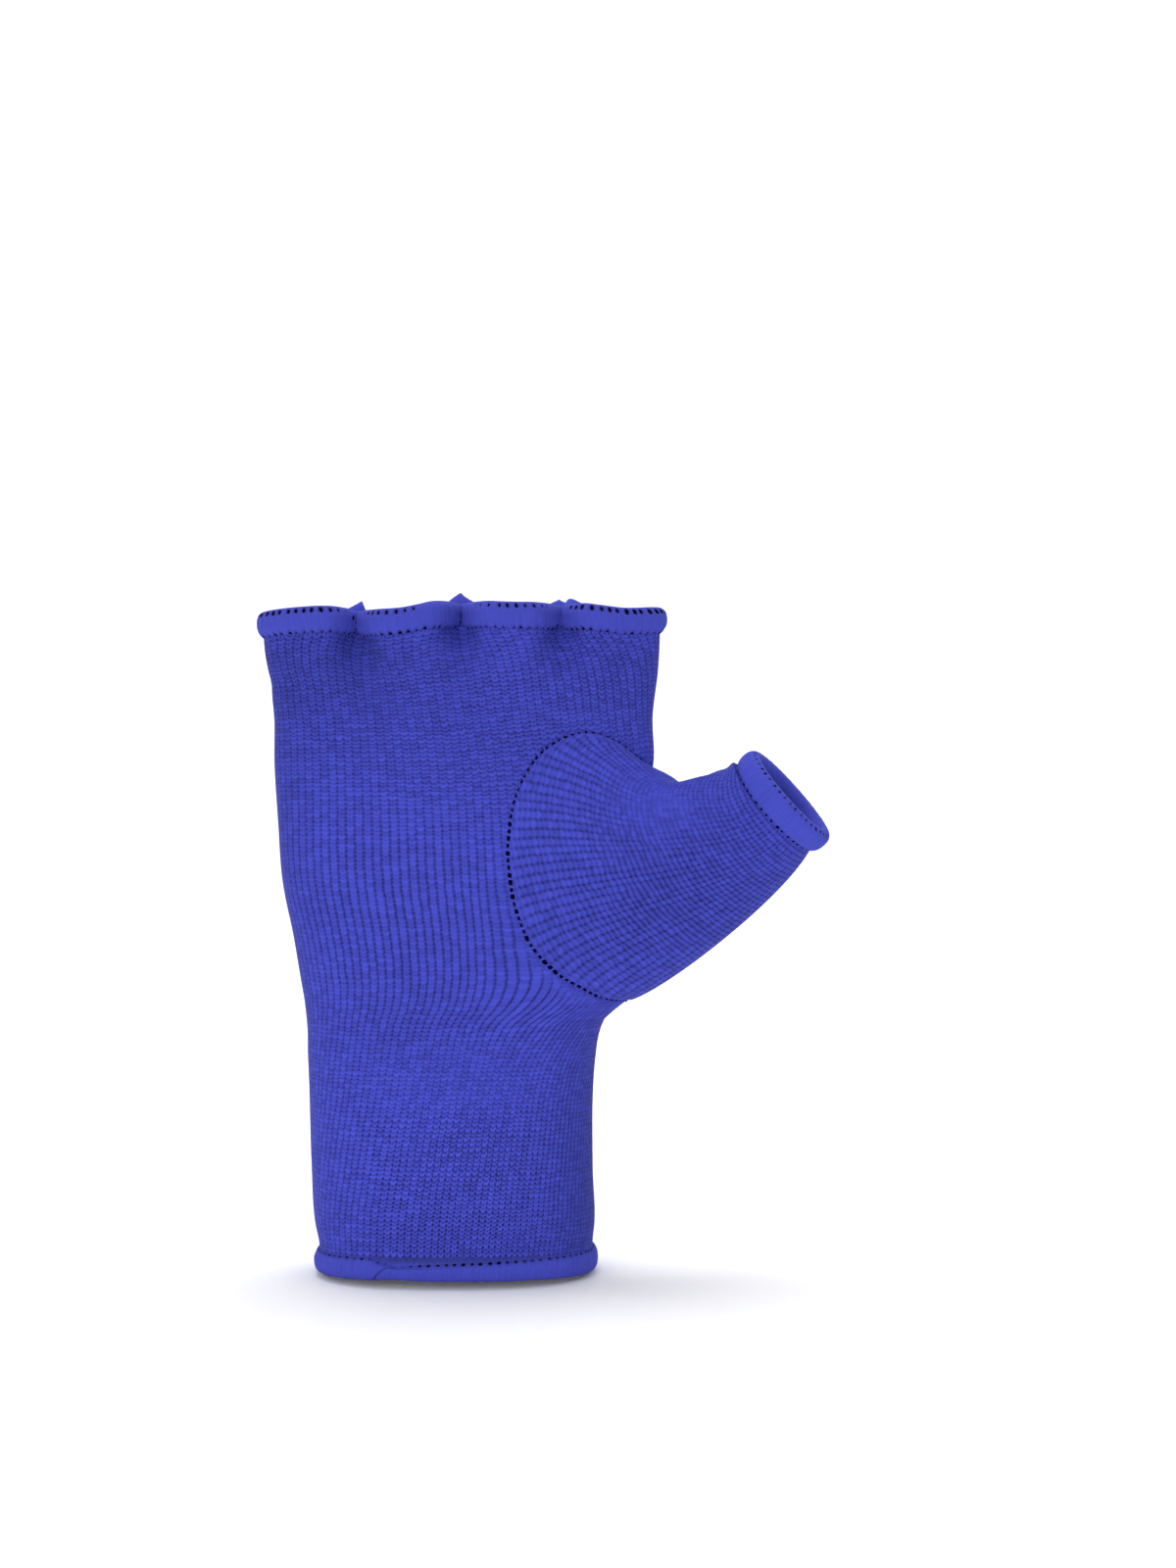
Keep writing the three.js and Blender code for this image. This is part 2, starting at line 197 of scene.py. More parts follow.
# How the knit is stretched, a row for each patch: 1 is full strength. Ribs part the wales, rows part the
# courses, lean tilts the stitches, sag bends them down, and groove is a rib's width. Plain knit comes first.
Patch = namedtuple("Patch", "side x height half_x half_height rib row lean sag groove")
STRETCHES = ("rib", "row", "lean", "sag", "groove")
PLAIN_KNIT = (0.5, 0.5, 0.2, 0.4, 0.7)
PATCH_POWER = 0.6  # under 1, a patch keeps its strength further out
PATCHES = table(
    Patch,
    (PALM, -10, 85, 26, 26, 1.05, 0.35, 0.1, 0.5, 0.6),
    (PALM, 8, 122, 28, 13, 0.1, 1.1, -0.4, 0.35, 0.7),
    (PALM, -8, 136, 26, 13, 0.12, 1.05, -0.3, 0.5, 0.7),
    (PALM, -36, 142, 10, 14, 0.42, 0.95, -0.3, 0.6, 0.6),
    (PALM, 4, 30, 25, 20, 0.46, 1.32, -0.5, 0.6, 0.7),
    (PALM, 0, 10, 28, 7, 0.5, 1.3, 0.2, 0.8, 0.7),
    (PALM, 0, 48, 26, 8, 0.25, 0.75, -0.3, 0.5, 0.7),
    (PALM, -30, 26, 9, 26, 0.65, 0.65, 0.4, 0.3, 0.7),
    (PALM, 29, 30, 7, 26, 0.9, 0.5, 0.3, 0.3, 0.6),
    (PALM, 23, 66, 14, 7, 1.4, 0.1, 0.0, 0.2, 0.4),
    (PALM, 36, 138, 14, 14, 0.45, 1.0, 0.5, 0.6, 0.65),
    (BACK, 0, 84, 30, 44, 0.85, 0.4, 0.2, 0.4, 0.65),
    (BACK, 0, 20, 30, 18, 0.45, 0.8, 0.5, 0.2, 0.7),
)
# The thumb piece's own knit: rib, row, lean and sag at its seam, and how each changes where wales merge.
THUMB_KNIT = np.array([0.8, 0.4, 0.1, 0.35])
THUMB_CHANGE = np.array([-0.42, 0.42, 0.0, -0.3])
# Painted shade: the thumb piece is painted a little darker, and darker still where its wales merge.
THUMB_LIGHT, MERGED_LIGHT = 0.95, -0.04
MERGE_FROM, MERGE_TO = 0.28, 0.62  # where the wales merge, as shares of the way to the thumb's rim
THUMB_PATCHES = table(
    Patch,
    (PALM, 48, 86, 17, 12, 0.6, 1.1, 0.1, 0.1, 0.65),
    (PALM, 48.5, 110, 7.5, 5.5, 0.05, 0.22, 0.0, 0.05, 0.6),
)

# Painted light and shade: soft differences of brightness painted over the knit where the light falls
# stronger or weaker, darker under the finger bindings, along the sides and in soft folds, lighter over the
# middle of the wrist. The last value is how much lighter (over 0) or darker the knit is painted there.
PaintedShading = namedtuple("PaintedShading", "side x height half_x half_height turn more")
PAINTED_SHADING = table(
    PaintedShading,
    (PALM, -38, 144, 20, 16, 0, -0.18),
    (PALM, -14, 146, 18, 12, 0, -0.12),
    (PALM, -19, 141, 6, 9, 10, -0.06),
    (PALM, 12, 147, 14, 8, 0, -0.06),
    (PALM, 40, 144, 14, 12, 0, -0.14),
    (PALM, -43, 100, 12, 46, 0, -0.16),
    (PALM, -4, 128, 40, 15, 0, -0.07),
    (PALM, -12, 60, 24, 4, 3, -0.06),
    (PALM, 0, 74, 30, 24, 0, -0.06),
    (PALM, 0, 24, 22, 22, 0, 0.13),
    (PALM, 35, 26, 10, 34, 0, -0.34),
    (PALM, 10, 124, 26, 14, 0, -0.05),
    (BACK, 0, 148, 60, 8, 0, -0.1),
)
# The thumb piece's painted light and shade, as above.
THUMB_PAINTED_SHADING = table(
    PaintedShading,
    (PALM, 46, 86, 15, 9, 30, -0.07),
    (PALM, 56, 104, 18, 12, 0, -0.04),
    (PALM, 28, 80, 10, 10, 0, -0.05),
)

# Where the wales lie closer than evenly round the girth: waves with this many rounds, how strong each is, and
# at which degrees it is strongest, counted from the thumb's side over the palm.
Crowd = namedtuple("Crowd", "rounds strength strongest")
WRIST_CROWDS = table(
    Crowd,
    (1, 0.256, 58), (2, 0.122, 15),
)
PALM_CROWDS = table(
    Crowd,
    (2, 0.0985, 41),
)
THUMB_CROWDS = table(
    Crowd,
    (2, 0.12, 81),
)
WRIST_FROM, WRIST_TO = 40, 72  # the heights between which the wrist's crowds end
PALM_MIDDLE, PALM_HALF = 92, 28  # the height at which the palm's crowds are strongest, and how far they reach

# How many wales the tube is twisted round at each height, as knitted tubes are.
Twist = namedtuple("Twist", "height wales")
TWISTS = table(
    Twist,
    (0, -5.6), (8, -5.2), (30, -3.0), (57, -0.4), (70, 0.2), (105, -0.3), (125, -1.2), (157, -3.8),
)

# Courses, in millimetres, at the wrist and above it, and between which heights one turns into the other.
WRIST_COURSE, PALM_COURSE = 1.1, 1.0
COURSE_FROM, COURSE_TO = 30.0, 56.0
COUNTED_ROWS = np.linspace(0, 170, 341)  # the heights up to which courses are counted

# How far the courses rise for each millimetre towards the thumb's side, and between which heights this
# begins.
COURSE_RISE = 0.11
RISE_FROM, RISE_TO = 105.0, 128.0

# Under the thumb piece the wales are drawn over towards it: how many, between which heights, and between
# which places across on palm and back, where 1 is the thumb's side.
DRAWN_WALES = 3.6
DRAWN_FROM, DRAWN_TO = 48.0, 70.0
DRAWN_BACK_FROM, DRAWN_BACK_TO = 84.0, 124.0
DRAWN_ON_PALM, DRAWN_ON_BACK = (0.12, 0.75), (-0.8, 0.95)


def through(table, places):
    """The smooth curve through a table's rows at these places along its first column."""
    rows = np.array(table, float)
    where, what = rows[:, 0], rows[:, 1:]
    secants = np.diff(what, axis=0) / np.diff(where)[:, None]
    slopes = np.vstack([secants[:1], (secants[1:] + secants[:-1]) / 2, secants[-1:]])
    places = np.asarray(places, float)
    i = np.clip(np.searchsorted(where, places, side="right") - 1, 0, len(where) - 2)
    span = (where[i + 1] - where[i])[..., None]
    s = (places - where[i])[..., None] / span
    return (
        what[i] * (2 * s**3 - 3 * s**2 + 1)
        + slopes[i] * span * (s**3 - 2 * s**2 + s)
        + what[i + 1] * (3 * s**2 - 2 * s**3)
        + slopes[i + 1] * span * (s**3 - s**2)
    )


def smoothstep(low, high, value):
    share = np.clip((value - low) / (high - low), 0, 1)
    return share * share * (3 - 2 * share)


def unit(vectors):
    return vectors / np.linalg.norm(vectors, axis=-1, keepdims=True)


def dot(a, b):
    return np.sum(a * b, axis=-1)


def pinch_at(across, half_width, row):
    """How strongly palm and back are drawn together here, from 0 to 1."""
    below = np.maximum(0, TOP_EDGE - PINCH_STRAIGHT - row)
    drawn = 0
    for pinch in PINCHES:
        width = PINCH_WIDTH + PINCH_SPREAD * below
        aside = (across - pinch.across) * half_width / width
        drawn = drawn + np.exp(-(aside**2) - below / pinch.reach)
    return np.minimum(drawn, 1)


def flare_at(across, row):
    return through(FLARES, row)[..., 0] * np.maximum(0, across) ** FLARE_POWER


def knit_point(around, row):
    """A point on the knit's outside: radians round from the thumb's side over the palm, and a height."""
    around, row = np.broadcast_arrays(np.asarray(around, float), np.asarray(row, float))
    left, right, palm, back = np.moveaxis(through(SECTIONS, row), -1, 0)
    cosine, sine = np.cos(around), np.sin(around)
    power = 2 / SQUARENESS
    across = np.sign(cosine) * np.abs(cosine) ** power
    fullness = np.abs(sine) ** power
    on_palm = sine >= 0
    half_width = (right - left) / 2
    pinch = pinch_at(across, half_width, row)
    depth = fullness * np.where(on_palm, palm, back)
    drawn = depth + (np.minimum(depth, PINCH_DEPTH) - depth) * pinch
    rise = np.where(on_palm, 0, BACK_RISE * fullness * (1 - 0.7 * pinch))
    lift = through(TOP_LINE, across)[..., 0] + rise - TOP_EDGE
    lower = np.where(on_palm, CUFF_RISE * fullness, 0) * (1 - smoothstep(CUFF_EDGE, CUFF_LEVEL, row))
    height = row + lower + lift * smoothstep(LIFT_FROM, TOP_EDGE, row)
    x = (right + left) / 2 + half_width * across + flare_at(across, row)
    return np.stack([x, np.where(on_palm, -drawn, drawn), height], axis=-1)


def knit_normal(around, row):
    """The outward normal of the knit's outside."""
    step = 0.01
    along = knit_point(around + step, row) - knit_point(around - step, row)
    upwards = knit_point(around, row + step) - knit_point(around, row - step)
    return unit(np.cross(upwards, along))


def bump_share(place, points):
    """How strongly a dent or a patch acts at these points, from 0 to 1."""
    turn = math.radians(getattr(place, "turn", 0))
    x, z = points[..., 0] - place.x, points[..., 2] - place.height
    across = (x * math.cos(turn) + z * math.sin(turn)) / place.half_x
    up = (z * math.cos(turn) - x * math.sin(turn)) / place.half_height
    behind = smoothstep(0, SIDE_FADE, points[..., 1])
    return np.exp(-(across**2) - up**2) * (1 - behind if place.side == PALM else behind)


def dented(points, normals):
    """The knit's points pushed in where the cloth is slack."""
    depth = sum(dent.depth * bump_share(dent, points) for dent in DENTS)
    return points - normals * depth[..., None]


def stretched(found, patches, points):
    """Rib, row, lean, sag and groove at these points, once the patches have acted on what was found."""
    for patch in patches:
        share = bump_share(patch, points)[..., None] ** PATCH_POWER
        found = found + (np.array(patch[-len(STRETCHES):]) - found) * share
    return found


def painted_shading_at(shading_spots, points):
    """How bright the painted light and shade leave the yarn at these points, where 1 is its own tone."""
    return 1 + sum(tone.more * bump_share(tone, points) for tone in shading_spots)


def drawn_wales(around, row):
    """How many wales the knit is turned round towards the thumb here."""
    cosine = np.cos(around)
    across = np.sign(cosine) * np.abs(cosine) ** (2 / SQUARENESS)
    aside = np.where(around >= 0, smoothstep(*DRAWN_ON_PALM, across), smoothstep(*DRAWN_ON_BACK, across))
    level = smoothstep(DRAWN_FROM, DRAWN_TO, row) * (1 - smoothstep(DRAWN_BACK_FROM, DRAWN_BACK_TO, row))
    return DRAWN_WALES * aside * level


def crowded(crowds, share, wales):
    """How many wales the knit is shifted at a share of the girth, where wales lie closer or wider."""
    turn = 2 * np.pi * share

    def moved(turn):
        return sum(
            crowd.strength / crowd.rounds * np.sin(crowd.rounds * (turn - math.radians(crowd.strongest)))
            for crowd in crowds
        )

    return wales / (2 * np.pi) * (moved(turn) - moved(np.pi / 2))


def crowded_wales(share, row, wales):
    """The shift of the tube's wales at a share of the girth and a height."""
    wrist = 1 - smoothstep(WRIST_FROM, WRIST_TO, row)
    palm = np.exp(-(((row - PALM_MIDDLE) / PALM_HALF) ** 2))
    shift = wrist * crowded(WRIST_CROWDS, share, wales) + palm * crowded(PALM_CROWDS, share, wales)
    return shift + through(TWISTS, row)[..., 0]


def course_at(around, row):
    """How many courses lie below these places of the tube."""
    pitch = WRIST_COURSE + (PALM_COURSE - WRIST_COURSE) * smoothstep(COURSE_FROM, COURSE_TO, COUNTED_ROWS)
    steps = (1 / pitch[1:] + 1 / pitch[:-1]) / 2 * np.diff(COUNTED_ROWS)
    count = np.concatenate([[0], np.cumsum(steps)])
    outwards = np.maximum(0, knit_point(around, row)[..., 0])
    rise = COURSE_RISE * outwards * smoothstep(RISE_FROM, RISE_TO, row)
    return np.interp(row - rise, COUNTED_ROWS, count)


def girth_lengths(rows):
    """For each row, the length round the tube up to each fine turn."""
    ring = knit_point(FINE_TURN[None, :], rows[:, None])
    steps = np.linalg.norm(np.diff(ring, axis=1), axis=2)
    return np.hstack([np.zeros((len(rows), 1)), np.cumsum(steps, axis=1)])


def even_around(rows, count):
    """For each row, the angles that part the girth evenly."""
    places = np.arange(count) / count
    lengths = girth_lengths(rows)
    return np.array([np.interp(places, length / length[-1], FINE_TURN) for length in lengths])


def wale_share(around, rows):
    """Which share of the girth lies before these angles, each at its own row."""
    return np.array([
        np.interp(turn % (2 * np.pi), FINE_TURN[1:], length[1:] / length[-1])
        for turn, length in zip(around, girth_lengths(rows))
    ])


def around_at(x, row):
    """How far round the tube from the thumb's side a place across the palm lies."""
    left, right = through(SECTIONS, row)[..., :2].T
    across = 0
    for _ in range(SIDE_ROUNDS):
        across = np.clip((2 * (x - flare_at(across, row)) - left - right) / (right - left), -1, 1)
    return np.arccos(np.sign(across) * np.abs(across) ** (SQUARENESS / 2))


def along_seam(table, side, count):
    """Places spaced evenly along a seam table: how far round, and the height."""
    corners = np.array(table, float)
    plane = np.stack([around_at(corners[:, 0], corners[:, 1]) * SEAM_RADIUS, corners[:, 1]], axis=1)
    chords = np.linalg.norm(np.diff(plane, axis=0), axis=1)
    reach = np.concatenate([[0], np.cumsum(np.sqrt(chords))])
    dense = through(np.column_stack([reach, plane]), np.linspace(0, reach[-1], SEAM_SAMPLES))
    steps = np.linalg.norm(np.diff(dense, axis=0), axis=1)
    length = np.concatenate([[0], np.cumsum(steps)])
    wanted = np.arange(count) / count * length[-1]
    around = np.interp(wanted, length, dense[:, 0]) / SEAM_RADIUS
    return np.stack([side * around, np.interp(wanted, length, dense[:, 1])], axis=1)


Seam = namedtuple("Seam", "places points normals along inwards")


def seam_loop(count):
    """The seam as a closed loop of places on the knit, with the way along it and into the thumb piece."""
    half = count // 2
    places = np.vstack([along_seam(PALM_SEAM, 1, half), along_seam(BACK_SEAM, -1, half)])
    points = knit_point(places[:, 0], places[:, 1])
    normals = knit_normal(places[:, 0], places[:, 1])
    along = unit(np.roll(points, -1, axis=0) - np.roll(points, 1, axis=0))
    return Seam(places, points, normals, along, unit(np.cross(normals, along)))


def thumb_ring(count):
    """The thumb's opening: a ring of points with outward normals square to the thumb."""
    palmwards = np.array([0.0, -1.0, 0.0])
    palmwards = unit(palmwards - THUMB_AXIS * palmwards.dot(THUMB_AXIS))
    above = -np.cross(THUMB_AXIS, palmwards)
    turn = np.arange(count)[:, None] / count * 2 * np.pi
    cosine, sine = np.cos(turn), np.sin(turn)
    points = THUMB_CENTRE + above * THUMB_HALF_WIDTH * cosine + palmwards * THUMB_HALF_DEPTH * sine
    normals = unit(above * cosine / THUMB_HALF_WIDTH + palmwards * sine / THUMB_HALF_DEPTH)
    return points, normals


def stall_points(seam, shares):
    """The thumb piece's outside, a loop for each share from the seam (0) to where its rim begins (1)."""
    ring, ring_normals = thumb_ring(len(seam.points))
    start = seam.points + seam.inwards * SEAM_GAP
    end = ring - THUMB_AXIS * THUMB_STRAIGHT
    reach = np.linalg.norm(end - start, axis=1, keepdims=True)
    on_side = np.maximum(0, seam.normals[:, :1])
    under = on_side * np.maximum(0, seam.inwards @ THUMB_AXIS)[:, None]
    ahead = START_ALONG - under
    out = START_OUT * on_side * (1 - LOW_TURN * under)
    to_thumb = START_THUMB_PALM + (START_THUMB_SIDE - START_THUMB_PALM) * on_side
    start_way = unit(seam.inwards * ahead + THUMB_AXIS * to_thumb + seam.normals * out)
    start_pull = STALL_START_PULL * (1 - LOW_SLACK * under)
    end_way = unit(THUMB_AXIS - ring_normals * THUMB_TAPER)
    above = np.sqrt(np.maximum(0, np.cos(2 * np.pi * np.arange(len(ring)) / len(ring))))[:, None]
    s = shares[:, None, None]
    lift = sum(web.lift * np.exp(-(((s - web.share) / web.spread) ** 2)) for web in WEBS)
    return (
        start * (2 * s**3 - 3 * s**2 + 1)
        + start_way * (s**3 - 2 * s**2 + s) * reach * start_pull
        + end * (3 * s**2 - 2 * s**3)
        + end_way * (s**3 - s**2) * reach * STALL_END_PULL
        + np.array([0.0, 0.0, 1.0]) * lift * above * np.sin(np.pi * s**2)
    )


def grid_faces(columns, rows):
    """Quads between rings of vertices, and each corner's column, where the last column closes up."""
    k, i = np.meshgrid(np.arange(columns), np.arange(rows - 1))
    k, i = k.ravel(), i.ravel()
    corner_columns = np.stack([k, k + 1, k + 1, k], axis=1)
    corner_rows = np.stack([i, i, i + 1, i + 1], axis=1)
    faces = corner_rows * columns + corner_columns % columns
    return faces, corner_columns


def rim_edges(faces):
    """The directed edges that only one face has."""
    edges = np.stack([faces, np.roll(faces, -1, axis=1)], axis=2).reshape(-1, 2)
    keys = np.sort(edges, axis=1)
    code = keys[:, 0].astype(np.int64) * (keys.max() + 1) + keys[:, 1]
    _, where, counts = np.unique(code, return_index=True, return_counts=True)
    return edges[where[counts == 1]]


def walled(outside, inside, faces, corners):
    """A closed wall: the outer skin, the inner one turned over, and quads along the free edges."""
    count = len(outside)
    rims = rim_edges(faces)
    quads = np.stack([rims[:, 1], rims[:, 0], rims[:, 0] + count, rims[:, 1] + count], axis=1)
    place = {}
    for face, uv in zip(faces.tolist(), corners.tolist()):
        for vertex, spot in zip(face, uv):
            place.setdefault(vertex, spot)
    rim_corners = np.array([[place[b], place[a], place[a], place[b]] for a, b in rims.tolist()])
    points = np.vstack([outside, inside])
    all_faces = np.vstack([faces, faces[:, ::-1] + count, quads])
    return points, all_faces, np.vstack([corners, corners[:, ::-1], rim_corners])


def mesh_object(name, points, faces, corners=None, values=None):
    """A smooth mesh in metres from points in millimetres, with its UV map and its named values."""
    mesh = bpy.data.meshes.new(name)
    mesh.from_pydata((points * MM).tolist(), [], faces.tolist())
    if corners is not None:
        layer = mesh.uv_layers.new(name="stitches")
        layer.data.foreach_set("uv", corners.astype(np.float32).ravel())
    for title, value in (values or {}).items():
        vector = value.ndim == 2
        attribute = mesh.attributes.new(title, "FLOAT_VECTOR" if vector else "FLOAT", "POINT")
        attribute.data.foreach_set("vector" if vector else "value", value.astype(np.float32).ravel())
    if len(faces):
        mesh.shade_smooth()
    piece = bpy.data.objects.new(name, mesh)
    bpy.context.scene.collection.objects.link(piece)
    return piece


def finish_piece(piece, node=None):
    """The piece moves with the glove and may stand for a solid, whose part it then hides."""
    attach(piece, BODY)
    if node:
        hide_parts(node)


class Wiring:
    """Puts nodes in a tree and links them, so that a formula reads in order."""

    def __init__(self, tree):
        self.tree = tree

    def node(self, kind, inputs=None, **settings):
        made = self.tree.nodes.new(kind)
        for title, value in settings.items():
            setattr(made, title, value)
        for socket, value in (inputs or {}).items():
            self.feed(made.inputs[socket], value)
        return made

    def feed(self, socket, value):
        if isinstance(value, bpy.types.NodeSocket):
            self.tree.links.new(value, socket)
        else:
            socket.default_value = value

    def math(self, operation, *values):
        kind = "ShaderNodeMath"
        return self.node(kind, dict(enumerate(values)), operation=operation).outputs[0]

    def plus(self, first, second):
        return self.math("ADD", first, second)

    def minus(self, first, second):
        return self.math("SUBTRACT", first, second)

    def times(self, first, second):
        return self.math("MULTIPLY", first, second)

    def line(self, value, slope, start):
        return self.math("MULTIPLY_ADD", value, slope, start)

    def attribute(self, title, kind="FLOAT"):
        """A named value of the mesh, in a geometry tree."""
        made = self.node("GeometryNodeInputNamedAttribute", {"Name": title}, data_type=kind)
        return made.outputs["Attribute"]

    def painted(self, title):
        """A named value of the mesh, in a material."""
        return self.node("ShaderNodeAttribute", attribute_name=title).outputs["Fac"]

    def noise(self, place, scale, detail=2.0):
        inputs = {"Vector": place, "Scale": scale, "Detail": detail}
        return self.node("ShaderNodeTexNoise", inputs).outputs["Fac"]

    def group(self, title):
        return self.node("ShaderNodeGroup", node_tree=bpy.data.node_groups[title])

    def close(self, geometry, given, result):
        """Makes the geometry real, gives it the material and hands it on."""
        real = self.node("GeometryNodeRealizeInstances", {"Geometry": geometry})
        inputs = {"Geometry": real.outputs["Geometry"], "Material": given["Material"]}
        worn = self.node("GeometryNodeSetMaterial", inputs)
        self.feed(result["Geometry"], worn.outputs["Geometry"])
        return self.tree

    def step(self, value, low, high):
        """0 below low, 1 above high and smooth between."""
        made = self.node(
            "ShaderNodeMapRange",
            {"Value": value, "From Min": low, "From Max": high},
            interpolation_type="SMOOTHSTEP",
        )
        return made.outputs["Result"]

    def blend(self, share, first, second):
        made = self.node("ShaderNodeMix", {0: share, 2: first, 3: second}, data_type="FLOAT")
        return made.outputs[0]

    def groove(self, place, width):
        """1 in the middle of the groove at each whole number, 0 on the ridge between two grooves."""
        part = self.math("FRACT", place)
        aside = self.math("ABSOLUTE", self.line(part, 2.0, -1.0))
        return self.step(aside, self.minus(1.0, width), 1.0)


def new_tree(name, kind, inputs, outputs):
    """An empty node tree with named inputs (socket type and default) and outputs, and its end sockets."""
    tree = bpy.data.node_groups.new(name, kind)
    for title, (socket, default) in inputs.items():
        made = tree.interface.new_socket(name=title, in_out="INPUT", socket_type=socket)
        if default is not None:
            made.default_value = default
    for title, socket in outputs.items():
        tree.interface.new_socket(name=title, in_out="OUTPUT", socket_type=socket)
    wiring = Wiring(tree)
    return wiring, wiring.node("NodeGroupInput").outputs, wiring.node("NodeGroupOutput").inputs


FLOAT, VECTOR, COLOUR = "NodeSocketFloat", "NodeSocketVector", "NodeSocketColor"
GEOMETRY, MATERIAL, NUMBER = "NodeSocketGeometry", "NodeSocketMaterial", "NodeSocketInt"


MERGED_SHARE = 0.8  # the share of the wales that go on where they merge on the thumb


def rib_tree():
    """Presses a groove into a knit between each two wales, along the piece's own normals."""
    wiring, given, result = new_tree(
        "Grooves between wales",
        "GeometryNodeTree",
        {
            "Geometry": (GEOMETRY, None),
            "Depth": (FLOAT, 0.0003),
            "Width": (FLOAT, 0.4),
            "Material": (MATERIAL, None),
        },
        {"Geometry": GEOMETRY},
    )

    wale = wiring.attribute("wale")
    fine = wiring.groove(wale, given["Width"])
    wide = wiring.groove(wiring.times(wale, MERGED_SHARE), given["Width"])
    groove = wiring.blend(wiring.attribute("merged"), fine, wide)
    strength = wiring.times(wiring.attribute("relief"), given["Depth"])
    depth = wiring.times(wiring.times(groove, strength), -1.0)
    offset = wiring.node(
        "ShaderNodeVectorMath",
        {"Vector": wiring.attribute("outwards", "FLOAT_VECTOR"), "Scale": depth},
        operation="SCALE",
    )
    pressed = wiring.node(
        "GeometryNodeSetPosition",
        {"Geometry": given["Geometry"], "Offset": offset.outputs["Vector"]},
    )
    return wiring.close(pressed.outputs["Geometry"], given, result)


def stitch_tree():
    """Lays a tapered stitch on each point, along the edge and turned by the slant."""
    wiring, given, result = new_tree(
        "Stitches along an edge",
        "GeometryNodeTree",
        {
            "Geometry": (GEOMETRY, None),
            "Length": (FLOAT, 0.0016),
            "Width": (FLOAT, 0.0004),
            "Height": (FLOAT, 0.0003),
            "Slant": (FLOAT, 0.0),
            "Uneven": (FLOAT, 0.15),
            "Wobble": (FLOAT, 0.1),
            "Seed": (NUMBER, 1),
            "Material": (MATERIAL, None),
        },
        {"Geometry": GEOMETRY},
    )

    def chance(low, high, seed):
        inputs = {2: low, 3: high, "Seed": seed}
        made = wiring.node("FunctionNodeRandomValue", inputs, data_type="FLOAT")
        return made.outputs[1]

    size = wiring.node(
        "ShaderNodeCombineXYZ",
        {"X": given["Length"], "Y": given["Width"], "Z": given["Height"]},
    )
    ball = wiring.node("GeometryNodeMeshUVSphere", {"Segments": 8, "Rings": 6, "Radius": 0.5})
    smooth = wiring.node("GeometryNodeSetShadeSmooth", {"Geometry": ball.outputs["Mesh"]})
    grain = wiring.node(
        "GeometryNodeTransform",
        {"Geometry": smooth.outputs["Geometry"], "Scale": size.outputs["Vector"]},
    )
    outwards = wiring.attribute("outwards", "FLOAT_VECTOR")
    out = wiring.node("FunctionNodeAlignRotationToVector", {"Vector": outwards}, axis="Z")
    turned = wiring.node(
        "FunctionNodeAlignRotationToVector",
        {"Rotation": out.outputs["Rotation"], "Vector": wiring.attribute("along", "FLOAT_VECTOR")},
        axis="X",
        pivot_axis="Z",
    )
    wobble = given["Wobble"]
    other_way = wiring.times(wobble, -1.0)
    angle = wiring.plus(given["Slant"], chance(other_way, wobble, given["Seed"]))
    twist = wiring.node(
        "FunctionNodeAxisAngleToRotation", {"Axis": (0.0, 0.0, 1.0), "Angle": angle}
    )
    laid = wiring.node(
        "FunctionNodeRotateRotation",
        {"Rotation": turned.outputs["Rotation"], "Rotate By": twist.outputs["Rotation"]},
        rotation_space="LOCAL",
    )
    least = wiring.minus(1.0, given["Uneven"])
    most = wiring.plus(1.0, given["Uneven"])
    other_seed = wiring.plus(given["Seed"], 7.0)
    scale = wiring.times(chance(least, most, other_seed), wiring.attribute("size"))
    sewn = wiring.node(
        "GeometryNodeInstanceOnPoints",
        {
            "Points": given["Geometry"],
            "Instance": grain.outputs["Geometry"],
            "Rotation": laid.outputs["Rotation"],
            "Scale": scale,
        },
    )
    return wiring.close(sewn.outputs["Instances"], given, result)


def grow(piece, tree, values):
    """Runs a node tree with these inputs on the piece and keeps the result as its plain mesh."""
    modifier = piece.modifiers.new(tree.name, "NODES")
    modifier.node_group = tree
    for item in tree.interface.items_tree:
        if item.in_out == "INPUT" and item.name in values:
            modifier[item.identifier] = values[item.name]
    bpy.context.view_layer.update()
    seen = piece.evaluated_get(bpy.context.evaluated_depsgraph_get())
    mesh = bpy.data.meshes.new_from_object(seen)
    piece.modifiers.remove(modifier)
    old = piece.data
    piece.data = mesh
    mesh.name = piece.name
    bpy.data.meshes.remove(old)
    if not len(mesh.polygons):
        raise RuntimeError(f"{tree.name} left {piece.name} without faces")


def yarn_group():
    """The yarn's own unevenness: a tone that changes softly over the piece and finely along the fibres."""
    wiring, given, result = new_tree(
        "Yarn tone",
        "ShaderNodeTree",
        {
            "Place": (VECTOR, None),
            "Colour": (COLOUR, (0.05, 0.06, 0.45, 1.0)),
            "Shade": (FLOAT, 1.0),
            "Cloud": (FLOAT, 0.05),
            "Fibre": (FLOAT, 0.08),
        },
        {"Colour": COLOUR, "Height": FLOAT},
    )
    broad = wiring.noise(given["Place"], 55.0)
    fine = wiring.noise(given["Place"], 2600.0)
    cloud = wiring.times(wiring.minus(broad, 0.5), given["Cloud"])
    fibre = wiring.times(wiring.minus(fine, 0.5), given["Fibre"])
    uneven = wiring.line(wiring.plus(cloud, fibre), 2.0, 1.0)
    tone = wiring.times(uneven, given["Shade"])
    tinted = wiring.node(
        "ShaderNodeVectorMath",
        {0: given["Colour"], "Scale": tone},
        operation="SCALE",
    )
    wiring.feed(result["Colour"], tinted.outputs["Vector"])
    wiring.feed(result["Height"], fine)
    return wiring.tree


